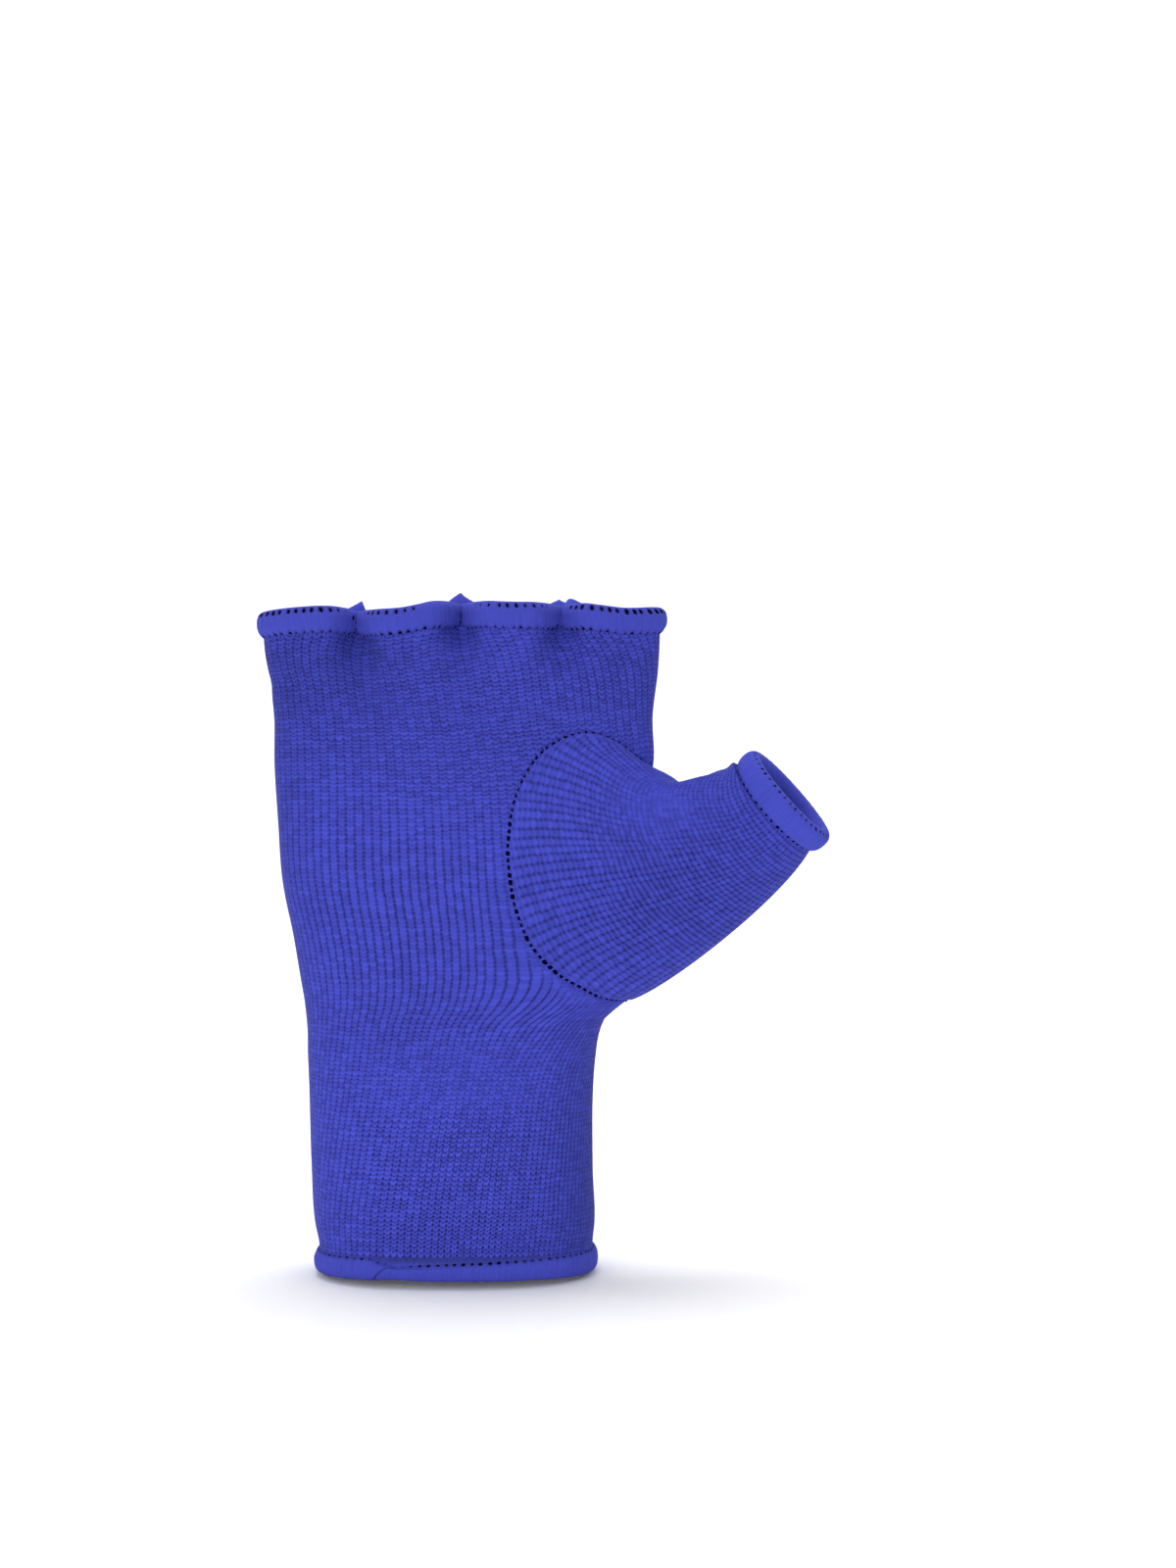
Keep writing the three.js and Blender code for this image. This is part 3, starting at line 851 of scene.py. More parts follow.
# Plain knit, in wales and courses: how far stitches wander, and which share of it each of them follows.
DRIFT = 1.6
WALE_DRIFT, COURSE_DRIFT, MERGED_DRIFT = 0.14, 0.85, 0.25
LOOP_LUCK, SOFT_LUCK = 0.55, 0.8  # how far the tone goes by chance from loop to loop, and over several
SAG_SHARE = 1.5  # how far a full sag bends a course, for each wale aside
LEG_SHARE, LEG_START = 1.5, -0.8  # a sagging course is deeper between a stitch's legs
# Painted shade: how much darker the knit is painted where rib and course cross.
HOLE_SHADE = 0.12  # how much darker it is where rib and course cross
SUNK = 0.6  # how deep a full groove lies in the bump
DARKEST = 0.1


def stitch_group():
    """Plain knitting on a map of wales and courses: its height, and how light the yarn lies, with painted
    shade in its grooves and gaps.
    """
    wiring, given, result = new_tree(
        "Plain knit",
        "ShaderNodeTree",
        {
            "Stitch": (VECTOR, None),
            "Rib": (FLOAT, 0.7),
            "Row": (FLOAT, 0.5),
            "Lean": (FLOAT, 0.3),
            "Sag": (FLOAT, 0.4),
            "Merged": (FLOAT, 0.0),
            "Groove Width": (FLOAT, 0.5),
            "Rib Shade": (FLOAT, 0.5),
            "Row Shade": (FLOAT, 0.4),
            "Uneven": (FLOAT, 0.46),
        },
        {"Height": FLOAT, "Shade": FLOAT},
    )
    moved = wiring.line(wiring.noise(given["Stitch"], 0.35), DRIFT, -DRIFT / 2)
    loose = wiring.noise(given["Stitch"], 1.3)
    parts = wiring.node("ShaderNodeSeparateXYZ", {"Vector": given["Stitch"]})
    wale = wiring.line(moved, WALE_DRIFT, parts.outputs["X"])
    fewer = wiring.times(wale, MERGED_SHARE)
    fine = wiring.groove(wale, given["Groove Width"])
    wide = wiring.groove(fewer, given["Groove Width"])
    groove = wiring.blend(given["Merged"], fine, wide)
    aside = wiring.blend(
        given["Merged"], wiring.math("FRACT", wale), wiring.math("FRACT", fewer)
    )
    leant = wiring.times(wiring.minus(0.5, aside), given["Lean"])
    from_middle = wiring.math("ABSOLUTE", wiring.minus(aside, 0.5))
    sagging = wiring.times(from_middle, wiring.times(given["Sag"], -SAG_SHARE))
    course = wiring.plus(parts.outputs["Y"], wiring.plus(leant, sagging))
    waves = wiring.blend(given["Merged"], COURSE_DRIFT, MERGED_DRIFT)
    course = wiring.line(moved, waves, course)
    between = wiring.groove(course, 0.9)
    legs = wiring.math("ABSOLUTE", wiring.line(from_middle, 4.0, -1.0))
    crossing = wiring.line(legs, LEG_SHARE, LEG_START)
    crossing = wiring.line(crossing, given["Sag"], 1.0)
    low_rib = wiring.times(groove, given["Rib"])
    low_row = wiring.times(wiring.times(between, crossing), given["Row"])
    loop = wiring.node(
        "ShaderNodeCombineXYZ",
        {"X": wiring.math("FLOOR", wale), "Y": wiring.math("FLOOR", course)},
    )
    luck = wiring.node(
        "ShaderNodeTexWhiteNoise", {"Vector": loop.outputs["Vector"]}, noise_dimensions="2D"
    )
    scatter = wiring.times(luck.outputs["Value"], LOOP_LUCK)
    chance = wiring.line(loose, SOFT_LUCK, scatter)
    tone = wiring.times(wiring.minus(chance, (LOOP_LUCK + SOFT_LUCK) / 2), given["Uneven"])
    hole = wiring.times(groove, between)
    # Painted shade: darker in the grooves between wales, in the gaps between courses and most where both
    # cross.
    dark = wiring.times(low_rib, given["Rib Shade"])
    dark = wiring.line(low_row, given["Row Shade"], dark)
    dark = wiring.line(hole, HOLE_SHADE, dark)
    shade = wiring.math("MAXIMUM", wiring.plus(wiring.minus(1.0, dark), tone), DARKEST)
    sunk = wiring.line(low_rib, SUNK, wiring.times(low_row, SUNK))
    wiring.feed(result["Shade"], shade)
    wiring.feed(result["Height"], wiring.minus(1.0, sunk))
    return wiring.tree


def cloth_material(name, roughness, sheen):
    """A woollen Principled material, with its nodes and its wiring."""
    material = bpy.data.materials.new(name)
    material.use_nodes = True
    wiring = Wiring(material.node_tree)
    shader = material.node_tree.nodes["Principled BSDF"]
    shader.inputs["Roughness"].default_value = roughness
    shader.inputs["Specular IOR Level"].default_value = 0.15
    shader.inputs["Sheen Weight"].default_value = sheen
    shader.inputs["Sheen Roughness"].default_value = 0.5
    return material, wiring, shader


def yarn_tone_and_shade(wiring, shader, colour, shade, height, rise, cloud=0.05):
    """Feeds a shader with the yarn's tone times the given shade, which carries the painted light and shade
    where a material gives it, and with a bump of the given rise in metres.
    """
    place = wiring.node("ShaderNodeTexCoord").outputs["Object"]
    yarn = wiring.group("Yarn tone")
    yarn.inputs["Colour"].default_value = (*colour, 1.0)
    yarn.inputs["Cloud"].default_value = cloud
    wiring.feed(yarn.inputs["Place"], place)
    wiring.feed(yarn.inputs["Shade"], shade)
    fuzzy = wiring.line(yarn.outputs["Height"], 0.15, height)
    bump = wiring.node("ShaderNodeBump", {"Height": fuzzy, "Distance": rise, "Strength": 1.0})
    wiring.feed(shader.inputs["Base Color"], yarn.outputs["Colour"])
    wiring.feed(shader.inputs["Normal"], bump.outputs["Normal"])


def knit_material(scene):
    material, wiring, shader = cloth_material("ribbed knit", 0.95, 0.03)
    stitches = wiring.node("ShaderNodeUVMap", uv_map="stitches")
    knit = wiring.group("Plain knit")
    wiring.feed(knit.inputs["Stitch"], stitches.outputs["UV"])
    for socket in ("Rib", "Row", "Lean", "Sag", "Merged"):
        wiring.feed(knit.inputs[socket], wiring.painted(socket.lower()))
    wiring.feed(knit.inputs["Groove Width"], wiring.painted("groove"))
    sizes = scene.glove_knit
    knit.inputs["Rib Shade"].default_value = sizes.rib_shade
    knit.inputs["Row Shade"].default_value = sizes.row_shade
    # The knit's shade, painted shade in its grooves and gaps with the yarn's uneven tone, times the painted
    # light and shade of its light values.
    shade = wiring.times(knit.outputs["Shade"], wiring.painted("light"))
    yarn_tone_and_shade(wiring, shader, scene.glove_colours.knit, shade, knit.outputs["Height"], sizes.stitch_rise)
    return material


def binding_material(scene):
    material, wiring, shader = cloth_material("overlocked thread", 0.85, 0.03)
    threads = wiring.node("ShaderNodeUVMap", uv_map="stitches").outputs["UV"]
    parts = wiring.node("ShaderNodeSeparateXYZ", {"Vector": threads})
    place = wiring.line(parts.outputs["Y"], -5.0, parts.outputs["X"])
    across = wiring.times(parts.outputs["Y"], 4.0)
    stretched = wiring.node("ShaderNodeCombineXYZ", {"X": place, "Y": across})
    uneven = wiring.noise(stretched.outputs["Vector"], 0.7, 3.0)
    thread = wiring.groove(place, 0.9)
    shown = wiring.times(thread, wiring.step(uneven, 0.35, 0.7))
    streak = wiring.line(uneven, 0.8, 0.62)
    # Painted shade in the grooves between the threads, over streaks of uneven yarn.
    shade = wiring.line(shown, -0.18, streak)
    # Times the painted shade that the roll keeps in its light values: hollows, lip line and shadow.
    shade = wiring.times(shade, wiring.painted("light"))
    height = wiring.minus(uneven, wiring.times(shown, 0.5))
    yarn_tone_and_shade(wiring, shader, scene.glove_colours.binding, shade, height, 0.00025, cloud=0.04)
    return material


def thread_material(scene):
    material, wiring, shader = cloth_material("sewing thread", 0.75, 0.1)
    place = wiring.node("ShaderNodeTexCoord").outputs["Object"]
    strands = wiring.node(
        "ShaderNodeTexWave",
        {"Vector": place, "Scale": 900.0, "Distortion": 1.5, "Detail": 1.0},
        bands_direction="DIAGONAL",
    )
    shade = wiring.line(strands.outputs["Fac"], 0.2, 0.85)
    yarn_tone_and_shade(wiring, shader, scene.glove_colours.thread, shade, strands.outputs["Fac"], 0.00005)
    return material


# Painted shade: the near-black grains of this material stand for the shade deep in needle holes and in gaps
# between threads.
def hole_shade_material(scene):
    material, wiring, shader = cloth_material("needle hole", 1.0, 0.0)
    shader.inputs["Specular IOR Level"].default_value = 0.0
    place = wiring.node("ShaderNodeTexCoord").outputs["Object"]
    frayed = wiring.noise(place, 1800.0)
    shade = wiring.line(frayed, 0.8, 0.6)
    yarn_tone_and_shade(wiring, shader, scene.glove_colours.hole, shade, frayed, 0.0001)
    return material


MATERIALS = {
    "ribbed knit": knit_material,
    "overlocked thread": binding_material,
    "sewing thread": thread_material,
    "needle hole": hole_shade_material,
}


def material_named(name):
    """The glove's material of that name, made at its first use."""
    for title, build in (("Yarn tone", yarn_group), ("Plain knit", stitch_group)):
        if title not in bpy.data.node_groups:
            build()
    return bpy.data.materials.get(name) or MATERIALS[name](bpy.context.scene)


def tree_named(name):
    """The geometry tree of that name, made at its first use."""
    trees = {"Grooves between wales": rib_tree, "Stitches along an edge": stitch_tree}
    return bpy.data.node_groups.get(name) or trees[name]()


def inside_loop(loop, spots):
    """Which spots of a plane lie inside a closed loop."""
    after = np.roll(loop, -1, axis=0)
    found = np.zeros(len(spots), bool)
    for (x1, y1), (x2, y2) in zip(loop, after):
        crosses = (y1 > spots[:, 1]) != (y2 > spots[:, 1])
        if crosses.any():
            at = x1 + (spots[:, 1] - y1) / (y2 - y1 + 1e-12) * (x2 - x1)
            found ^= crosses & (spots[:, 0] < at)
    return found


def nearest_on_loop(loop, spots):
    """For each spot, the closest place on a closed loop and how far it is."""
    after = np.roll(loop, -1, axis=0)
    way = after - loop
    best = np.full(len(spots), np.inf)
    place = np.zeros_like(spots)
    for start, step in zip(loop, way):
        share = np.clip((spots - start) @ step / (step @ step + 1e-12), 0, 1)
        at = start + share[:, None] * step
        distance = np.linalg.norm(spots - at, axis=1)
        closer = distance < best
        best[closer] = distance[closer]
        place[closer] = at[closer]
    return place, best


# Along the seam the tube's vertices are moved onto it, where they lie closer than this share of a cell.
ON_SEAM = 0.45
SEAM_CELLS = 6  # how many cells away from the seam its distance is measured
CELL_SIZE = 0.5  # about how many millimetres a cell measures across


def knit_tube(sizes):
    """The tube as rings of vertices, with the thumb's hole cut along the seam."""
    columns = sizes.wales * sizes.columns_per_wale
    count = round((TOP_EDGE - CUFF_EDGE) / (sizes.row_step / MM)) + 1
    levels = np.linspace(CUFF_EDGE, TOP_EDGE, count)
    around = even_around(levels, columns).ravel()
    row = np.repeat(levels, columns)
    signed = np.where(around > np.pi, around - 2 * np.pi, around)
    wale = np.tile(np.arange(columns) / sizes.columns_per_wale, count)

    seam = seam_loop(sizes.seam_points)
    cell = np.array([2 * np.pi / columns, levels[1] - levels[0]])
    loop = seam.places / cell
    spots = np.stack([signed, row], axis=1) / cell
    low, high = loop.min(axis=0) - SEAM_CELLS, loop.max(axis=0) + SEAM_CELLS
    near = np.all((spots > low) & (spots < high), axis=1)
    close, far = nearest_on_loop(loop, spots[near])
    within = np.zeros(len(spots), bool)
    within[near] = inside_loop(loop, spots[near])
    distance = np.full(len(spots), np.inf)
    distance[near] = far
    gone = within | (distance < ON_SEAM)

    faces, corner_columns = grid_faces(columns, count)
    kept = ~gone[faces].all(axis=1)
    faces, corner_columns = faces[kept], corner_columns[kept]
    moved = np.zeros(len(spots), bool)
    moved[np.unique(faces)] = True
    moved &= gone
    place = np.zeros_like(spots)
    place[near] = close
    signed[moved] = place[moved, 0] * cell[0]
    row[moved] = place[moved, 1] * cell[1]

    corner_wale = corner_columns / sizes.columns_per_wale
    shift = np.zeros(len(spots))
    shift[moved] = wale_share(signed[moved], row[moved]) * sizes.wales - wale[moved]
    shift = (shift + sizes.wales / 2) % sizes.wales - sizes.wales / 2
    shift = shift + crowded_wales((wale + shift) / sizes.wales, row, sizes.wales) + drawn_wales(signed, row)
    corner_wale = corner_wale + shift[faces]
    corners = np.stack([corner_wale, course_at(signed, row)[faces]], axis=-1)

    used = np.unique(faces)
    renumber = np.full(len(spots), -1)
    renumber[used] = np.arange(len(used))
    seam_distance = distance[used] * CELL_SIZE
    seam_distance[moved[used]] = 0
    return signed[used], row[used], (wale + shift)[used], seam_distance, renumber[faces], corners


DIP_REACH = 0.9
TUBE_CALM = (0.2, 1.4)  # between these distances from the seam the tube's ribs begin
THUMB_CALM = (0.3, 1.6)  # and those of the thumb piece


def dip(distance, depth):
    """How far the cloth is pulled in at this distance from a seam."""
    return depth * np.exp(-((distance / DIP_REACH) ** 2))


def knit_piece(name, node, sizes, skins, faces, corners, cloth, light):
    """A walled knit from its two skins, with grooves in the outer one, where cloth holds its values."""
    points, faces, corners = walled(*skins, faces, corners)
    values = {title: np.concatenate([value, value]) for title, value in cloth.items()}
    values["relief"] = np.concatenate([cloth["rib"], np.zeros(len(skins[1]))])
    # The painted light and shade, which the knit's material multiplies into its colour.
    values["light"] = light
    piece = mesh_object(name, points, faces, corners, values)
    grow(piece, tree_named("Grooves between wales"), {
        "Depth": sizes.rib_depth,
        "Width": sizes.groove_width,
        "Material": material_named("ribbed knit"),
    })
    finish_piece(piece, node)


class GLOVE_OT_tube(bpy.types.Operator):
    """Knit the tube from the cuff to the finger openings"""

    bl_idname = "glove.tube"
    bl_label = "Knit tube"

    def execute(self, context):
        sizes = context.scene.glove_knit
        around, row, wale, seam_distance, faces, corners = knit_tube(sizes)
        points = knit_point(around, row)
        normals = knit_normal(around, row)
        stretch = stretched(np.array(PLAIN_KNIT), PATCHES, points)
        body = dented(points, normals)
        sunk = dip(seam_distance, sizes.seam_dip / MM)
        outside = body - normals * sunk[:, None]
        inside = body - normals * (sizes.wall / MM + sunk)[:, None]
        stretch[:, 0] *= smoothstep(*TUBE_CALM, seam_distance)
        cloth = {"wale": wale, "merged": np.zeros(len(wale)), "outwards": normals}
        cloth.update(zip(STRETCHES, stretch.T))
        # Painted light and shade over the tube, kept in its light values.
        light = painted_shading_at(PAINTED_SHADING, np.vstack([outside, inside]))
        knit_piece("knit_tube", "knit_body", sizes, (outside, inside), faces, corners, cloth, light)
        return {"FINISHED"}


class GLOVE_OT_thumb(bpy.types.Operator):
    """Knit the thumb piece, from its seam to the thumb's opening"""

    bl_idname = "glove.thumb"
    bl_label = "Thumb piece"

    def execute(self, context):
        sizes = context.scene.glove_knit
        columns = sizes.seam_points
        seam = seam_loop(columns)
        shares = np.linspace(0, 1, sizes.thumb_rows)
        loops = list(stall_points(seam, shares))
        ring, _ = thumb_ring(columns)
        steps = round(THUMB_STRAIGHT / (sizes.row_step / MM)) + 2
        for back in np.linspace(THUMB_STRAIGHT, 0, steps)[1:]:
            loops.append(ring - THUMB_AXIS * back)
        grid = np.array(loops)
        count = len(grid)
        share = np.concatenate([shares, np.ones(count - len(shares))])

        along = np.roll(grid, -1, axis=1) - np.roll(grid, 1, axis=1)
        onwards = np.gradient(grid, axis=0)
        normals = unit(np.cross(along, onwards))
        start_share = smoothstep(0, 0.06, share)[:, None, None]
        normals = unit(seam.normals * (1 - start_share) + normals * start_share)

        lengths = np.linalg.norm(np.diff(grid, axis=0), axis=2)
        from_rim = np.vstack([np.cumsum(lengths[::-1], axis=0)[::-1], np.zeros((1, columns))])
        from_seam = from_rim[:1] - from_rim
        merged = smoothstep(MERGE_FROM, MERGE_TO, share)[:, None] * np.ones((1, columns))
        plain = THUMB_KNIT + THUMB_CHANGE * merged[..., None]
        plain = np.dstack([plain, np.full_like(merged, sizes.groove_width)])
        stretch = stretched(plain, THUMB_PATCHES, grid)
        stretch[..., 0] *= smoothstep(*THUMB_CALM, from_seam)
        # Painted shade over the thumb piece, times its own painted light and shade.
        light = (THUMB_LIGHT + MERGED_LIGHT * merged) * painted_shading_at(THUMB_PAINTED_SHADING, grid)
        sunk = dip(from_seam, sizes.seam_dip / MM)[..., None]

        faces, corner_columns = grid_faces(columns, count)
        wales = columns / sizes.columns_per_wale
        wale = np.arange(columns) / sizes.columns_per_wale
        wale = np.tile(wale + crowded(THUMB_CROWDS, wale / wales, wales), count)
        corner_wale = corner_columns / sizes.columns_per_wale
        corner_wale = corner_wale + crowded(THUMB_CROWDS, corner_wale / wales, wales)
        reach = from_rim[:1]
        evened = (from_rim + from_rim / reach * reach.mean()) / 2
        course = evened / (sizes.thumb_course / MM)
        corners = np.stack([corner_wale, course.ravel()[faces]], axis=-1)
        outside = (grid - normals * sunk).reshape(-1, 3)
        inside = (grid - normals * (sizes.wall / MM + sunk)).reshape(-1, 3)
        cloth = {"wale": wale, "merged": merged.ravel(), "outwards": normals.reshape(-1, 3)}
        cloth.update(zip(STRETCHES, stretch.reshape(-1, len(STRETCHES)).T))
        light = np.tile(light.ravel(), 2)
        knit_piece("knit_thumb", "thumb_stall", sizes, (outside, inside), faces, corners, cloth, light)
        return {"FINISHED"}


Edge = namedtuple("Edge", "points normals onwards along length")


def edge_of(points, normals, onwards):
    """An opening's edge as a closed loop, with the way along it and its length so far at each point."""
    along = unit(np.roll(points, -1, axis=0) - np.roll(points, 1, axis=0))
    steps = np.linalg.norm(np.roll(points, -1, axis=0) - points, axis=1)
    length = np.concatenate([[0], np.cumsum(steps)])
    return Edge(points, normals, np.broadcast_to(onwards, points.shape), along, length)


def tube_edge(row, count, onwards):
    """The edge of the tube at a row, evenly spaced, with level normals."""
    around = even_around(np.array([row]), count)[0]
    normals = knit_normal(around, row)
    normals[:, 2] = 0
    return edge_of(knit_point(around, row), unit(normals), onwards)


def thumb_edge(count):
    return edge_of(*thumb_ring(count), THUMB_AXIS)


# A roll's outline runs from its outer lip over the crest to its inner lip, by degrees of turn.
SECTION_POINTS = 33
LIP_TURN, INNER_TURN = -76, 256
SQUEEZED = 0.12  # how much thinner the roll is where it is squeezed
THREAD_RELIEF = 0.045  # how far each overlock thread stands out
THREAD_TURN = 150  # degrees of turn over which a thread runs on by one pitch
HOLLOW_SPREAD = 0.6  # a hollow's reach along the roll, for each millimetre of its mark's width
# Painted shade: the dark line where the outer lip meets the knit.
LIP_SHADE, LIP_SHADE_TURN, LIP_SHADE_HALF = 0.42, 73, 9  # the dark line along the outer lip

# What shows on a binding: gaps between its threads under the crest, needle holes and slanted stitches at its
# lip. Gaps and holes are laid as dark grains of painted shade, in hollows that are painted darker too. Turn
# is 0 where the roll is fattest, 90 on its crest and -76 at its lip, and hollow is a dent's depth.
Mark = namedtuple("Mark", "binding name turn pitch length width slant wobble least hollow seed")
# Painted shade: the hollows under the marks are painted darker by their depth.
PAINTED_HOLLOW_SHADE = 2.6  # how much darker the threads are for each millimetre of a hollow's depth
HOLLOW_HALF = 18.0  # how many degrees of turn a hollow reaches to either side
MARKS = table(
    Mark,
    ("finger", "slots", 39, 1.93, 2.1, 1.1, 106, 0.2, 0.72, 0.38, 11),
    ("finger", "holes", -58, 1.95, 1.1, 0.85, 0, 0.2, 0.4, 0.3, 12),
    ("finger", "stitches", -75, 1.05, 1.35, 0.42, 58, 0.1, 0.85, 0.0, 13),
    ("thumb", "slots", 66, 1.85, 1.0, 0.65, 80, 0.3, 0.5, 0.28, 23),
    ("thumb", "holes", -64, 1.85, 1.05, 0.85, 0, 0.2, 0.75, 0.3, 24),
    ("thumb", "stitches", -76, 1.85, 2.0, 0.45, 6, 0.1, 0.9, 0.0, 25),
    ("cuff", "holes", -66, 2.0, 1.2, 0.95, 0, 0.2, 0.7, 0.3, 38),
    ("cuff", "stitches", -76, 2.0, 1.7, 0.42, -12, 0.1, 0.85, 0.0, 39),
)

# How open the cuff's needle holes are across the palm, which sets how much painted shade lies in them.
Opened = namedtuple("Opened", "x strength")
CUFF_OPENED = table(
    Opened,
    (-36, 0.4), (-24, 0.7), (-18, 0.6), (-14, 0.3), (-7, 0.6), (-4, 1.0), (12, 1.0), (20, 0.8),
    (34, 0.6),
)

# The height of the cuff binding's lip on the palm's side, past its usual place, left and right of its join.
CuffLip = namedtuple("CuffLip", "x left right")
CUFF_LIP = table(
    CuffLip,
    (-36, 0.3, 2.0), (-28, 0.4, 2.0), (-18, 0.4, 2.0), (-14, 0.4, 1.9), (-4, 0.4, 1.5), (8, 0.4, 1.1),
    (20, 0.4, 0.6), (33, 0.4, 0.1),
)
JOIN_SLOPE = 0.9  # how far the binding's end leans over, for each millimetre of its height


def spaced(edge_length, pitch, seed, jitter=0.12):
    """Places a pitch apart along a closed length, uneven but the same each time."""
    count = round(edge_length / pitch)
    draw = np.random.default_rng(seed)
    return (np.arange(count) + draw.uniform(-jitter, jitter, count)) % count / count * edge_length


def sample(edge_length, values, places):
    """Values of a closed loop at these lengths along it."""
    closed = np.vstack([values, values[:1]])
    return np.stack([np.interp(places, edge_length, column) for column in closed.T], axis=1)


def marks_along(mark, edge):
    """Where a binding's marks lie along its edge, and how strong each one is."""
    places = spaced(edge.length[-1], mark.pitch, mark.seed)
    luck = np.random.default_rng(mark.seed + 100).uniform(0, 1, len(places)) ** 3
    strong = mark.least + (1 - mark.least) * luck
    x = sample(edge.length, edge.points, places)[:, 0]
    if (mark.binding, mark.name) == ("finger", "slots"):
        strong = strong * through(SLOTTED, x)[:, 0].clip(0, 1)
    if (mark.binding, mark.name) == ("cuff", "holes"):
        strong = strong * through(CUFF_OPENED, x)[:, 0].clip(0, 1)
    return places, strong


def roll_section(girth, sizes):
    """The roll's outline from its outer lip over the crest to its inner lip, and the turn at each point."""
    turn = np.radians(np.linspace(LIP_TURN, INNER_TURN, SECTION_POINTS))
    cosine, sine = np.cos(turn), np.sin(turn)
    power = np.where(sine > 0, 2 / sizes.crest_squareness, 2 / sizes.lip_squareness)
    half = np.where(sine > 0, sizes.crest / MM - sizes.middle / MM, sizes.middle / MM - sizes.lip / MM)
    out = girth * np.sign(cosine) * np.abs(cosine) ** power
    past = sizes.middle / MM + half * np.sign(sine) * np.abs(sine) ** power
    return out, past, np.degrees(turn)


Roll = namedtuple("Roll", "edge turn points pocket darkness")


def rolled(binding, edge, girth, sizes, squeeze=0, shadow=0, lip_lift=0, crest_rise=0):
    """A binding rolled over an edge: a ring of points for each place along it, and how dark they are painted,
    with painted shade in hollows, along the lip and where a shadow is given.
    """
    out, past, turn = roll_section(girth, sizes)
    count = len(edge.points)
    column = np.zeros((count, 1))
    squeeze, lip_lift, crest_rise = squeeze + column, lip_lift + column, crest_rise + column

    def band(centre, half):
        return np.exp(-(((turn - centre) / half) ** 4))

    dents = np.zeros((count, len(turn)))
    for mark in MARKS:
        if mark.binding == binding and mark.hollow:
            places, strong = marks_along(mark, edge)
            apart = np.abs(edge.length[:-1, None] - places[None, :])
            apart = np.minimum(apart, edge.length[-1] - apart)
            near = (np.exp(-((apart / (mark.width * HOLLOW_SPREAD)) ** 2)) * strong[None, :]).max(axis=1)
            dents += near[:, None] * band(mark.turn, HOLLOW_HALF) * mark.hollow
    pitches = edge.length[:-1, None] / (sizes.thread_pitch / MM)
    thread = np.cos(2 * np.pi * (pitches + turn[None, :] / THREAD_TURN))
    radius = np.hypot(out, past - sizes.middle / MM)[None, :]
    grown = (1 - squeeze * SQUEEZED) * (1 + (THREAD_RELIEF * thread - dents) / radius)
    outs = out[None, :] * grown
    pasts = sizes.middle / MM + (past - sizes.middle / MM)[None, :] * grown
    pasts = pasts + lip_lift * band(LIP_TURN, 60)[None, :]
    pasts = pasts + crest_rise * np.clip(np.sin(np.radians(turn)), 0, 1)[None, :] ** 1.5

    knit = sizes.knit_wall / MM / 2
    pocket_out = np.array([-knit, -knit, knit, knit]) * 1.02
    pocket_past = np.array([sizes.lip / MM + 0.2, 0.3, 0.3, sizes.lip / MM + 0.2])
    centre = (edge.points - edge.normals * knit)[:, None]
    normals, onwards = edge.normals[:, None], edge.onwards[:, None]
    points = centre + normals * outs[..., None] + onwards * pasts[..., None]
    pocket = centre + normals * pocket_out[:, None] + onwards * pocket_past[:, None]
    # Painted shade: a dark line along the outer lip, the hollows, and the shadow given over the roll's
    # fattest part.
    groove = LIP_SHADE * np.exp(-(((turn + LIP_SHADE_TURN) / LIP_SHADE_HALF) ** 2))[None, :]
    darkness = np.clip(dents * PAINTED_HOLLOW_SHADE + groove, 0, 1)
    darkness = np.maximum(darkness, shadow * band(10, 70)[None, :])
    return Roll(edge, turn, points, pocket, darkness)


def roll_piece(name, roll, sizes):
    """The mesh of a rolled binding, closed round the knit that it holds."""
    count = len(roll.points)
    points = np.concatenate([roll.points, roll.pocket], axis=1)
    section = points.shape[1]
    dark = np.zeros((count, section))
    dark[:, :len(roll.turn)] = roll.darkness
    wale = roll.edge.length / (sizes.thread_pitch / MM)
    k, i = np.meshgrid(np.arange(count), np.arange(section), indexing="ij")
    k, i = k.ravel(), i.ravel()
    k2, i2 = (k + 1) % count, (i + 1) % section
    faces = np.stack([k * section + i, k2 * section + i, k2 * section + i2, k * section + i2], axis=1)
    corner_wale = np.stack([wale[k], wale[k + 1], wale[k + 1], wale[k]], axis=1)
    corner_turn = np.stack([i, i, i + 1, i + 1], axis=1) / section
    corners = np.stack([corner_wale, corner_turn], axis=-1)
    # The roll's painted shade, kept as its light values.
    piece = mesh_object(name, points.reshape(-1, 3), faces, corners, {"light": 1 - 0.93 * dark.ravel()})
    turn_outwards(piece.data)
    piece.data.materials.append(material_named("overlocked thread"))
    return piece


def roll_normals(roll):
    """The outward normals at a binding's points."""
    onwards = np.gradient(roll.points, axis=1)
    along = np.roll(roll.points, -1, axis=0) - np.roll(roll.points, 1, axis=0)
    normals = unit(np.cross(onwards, along))
    from_middle = roll.points - roll.points.mean(axis=1, keepdims=True)
    return normals * np.sign(dot(normals, from_middle).sum())


def on_roll(roll, turn, places):
    """Spots on a binding at this turn and these lengths along it, and the surface's normals there."""
    where = np.interp(turn, roll.turn, np.arange(len(roll.turn)))
    low = min(int(where), len(roll.turn) - 2)
    share = where - low
    found = []
    for values in (roll.points, roll_normals(roll)):
        ring = values[:, low] * (1 - share) + values[:, low + 1] * share
        found.append(sample(roll.edge.length, ring, places))
    return found[0], unit(found[1])


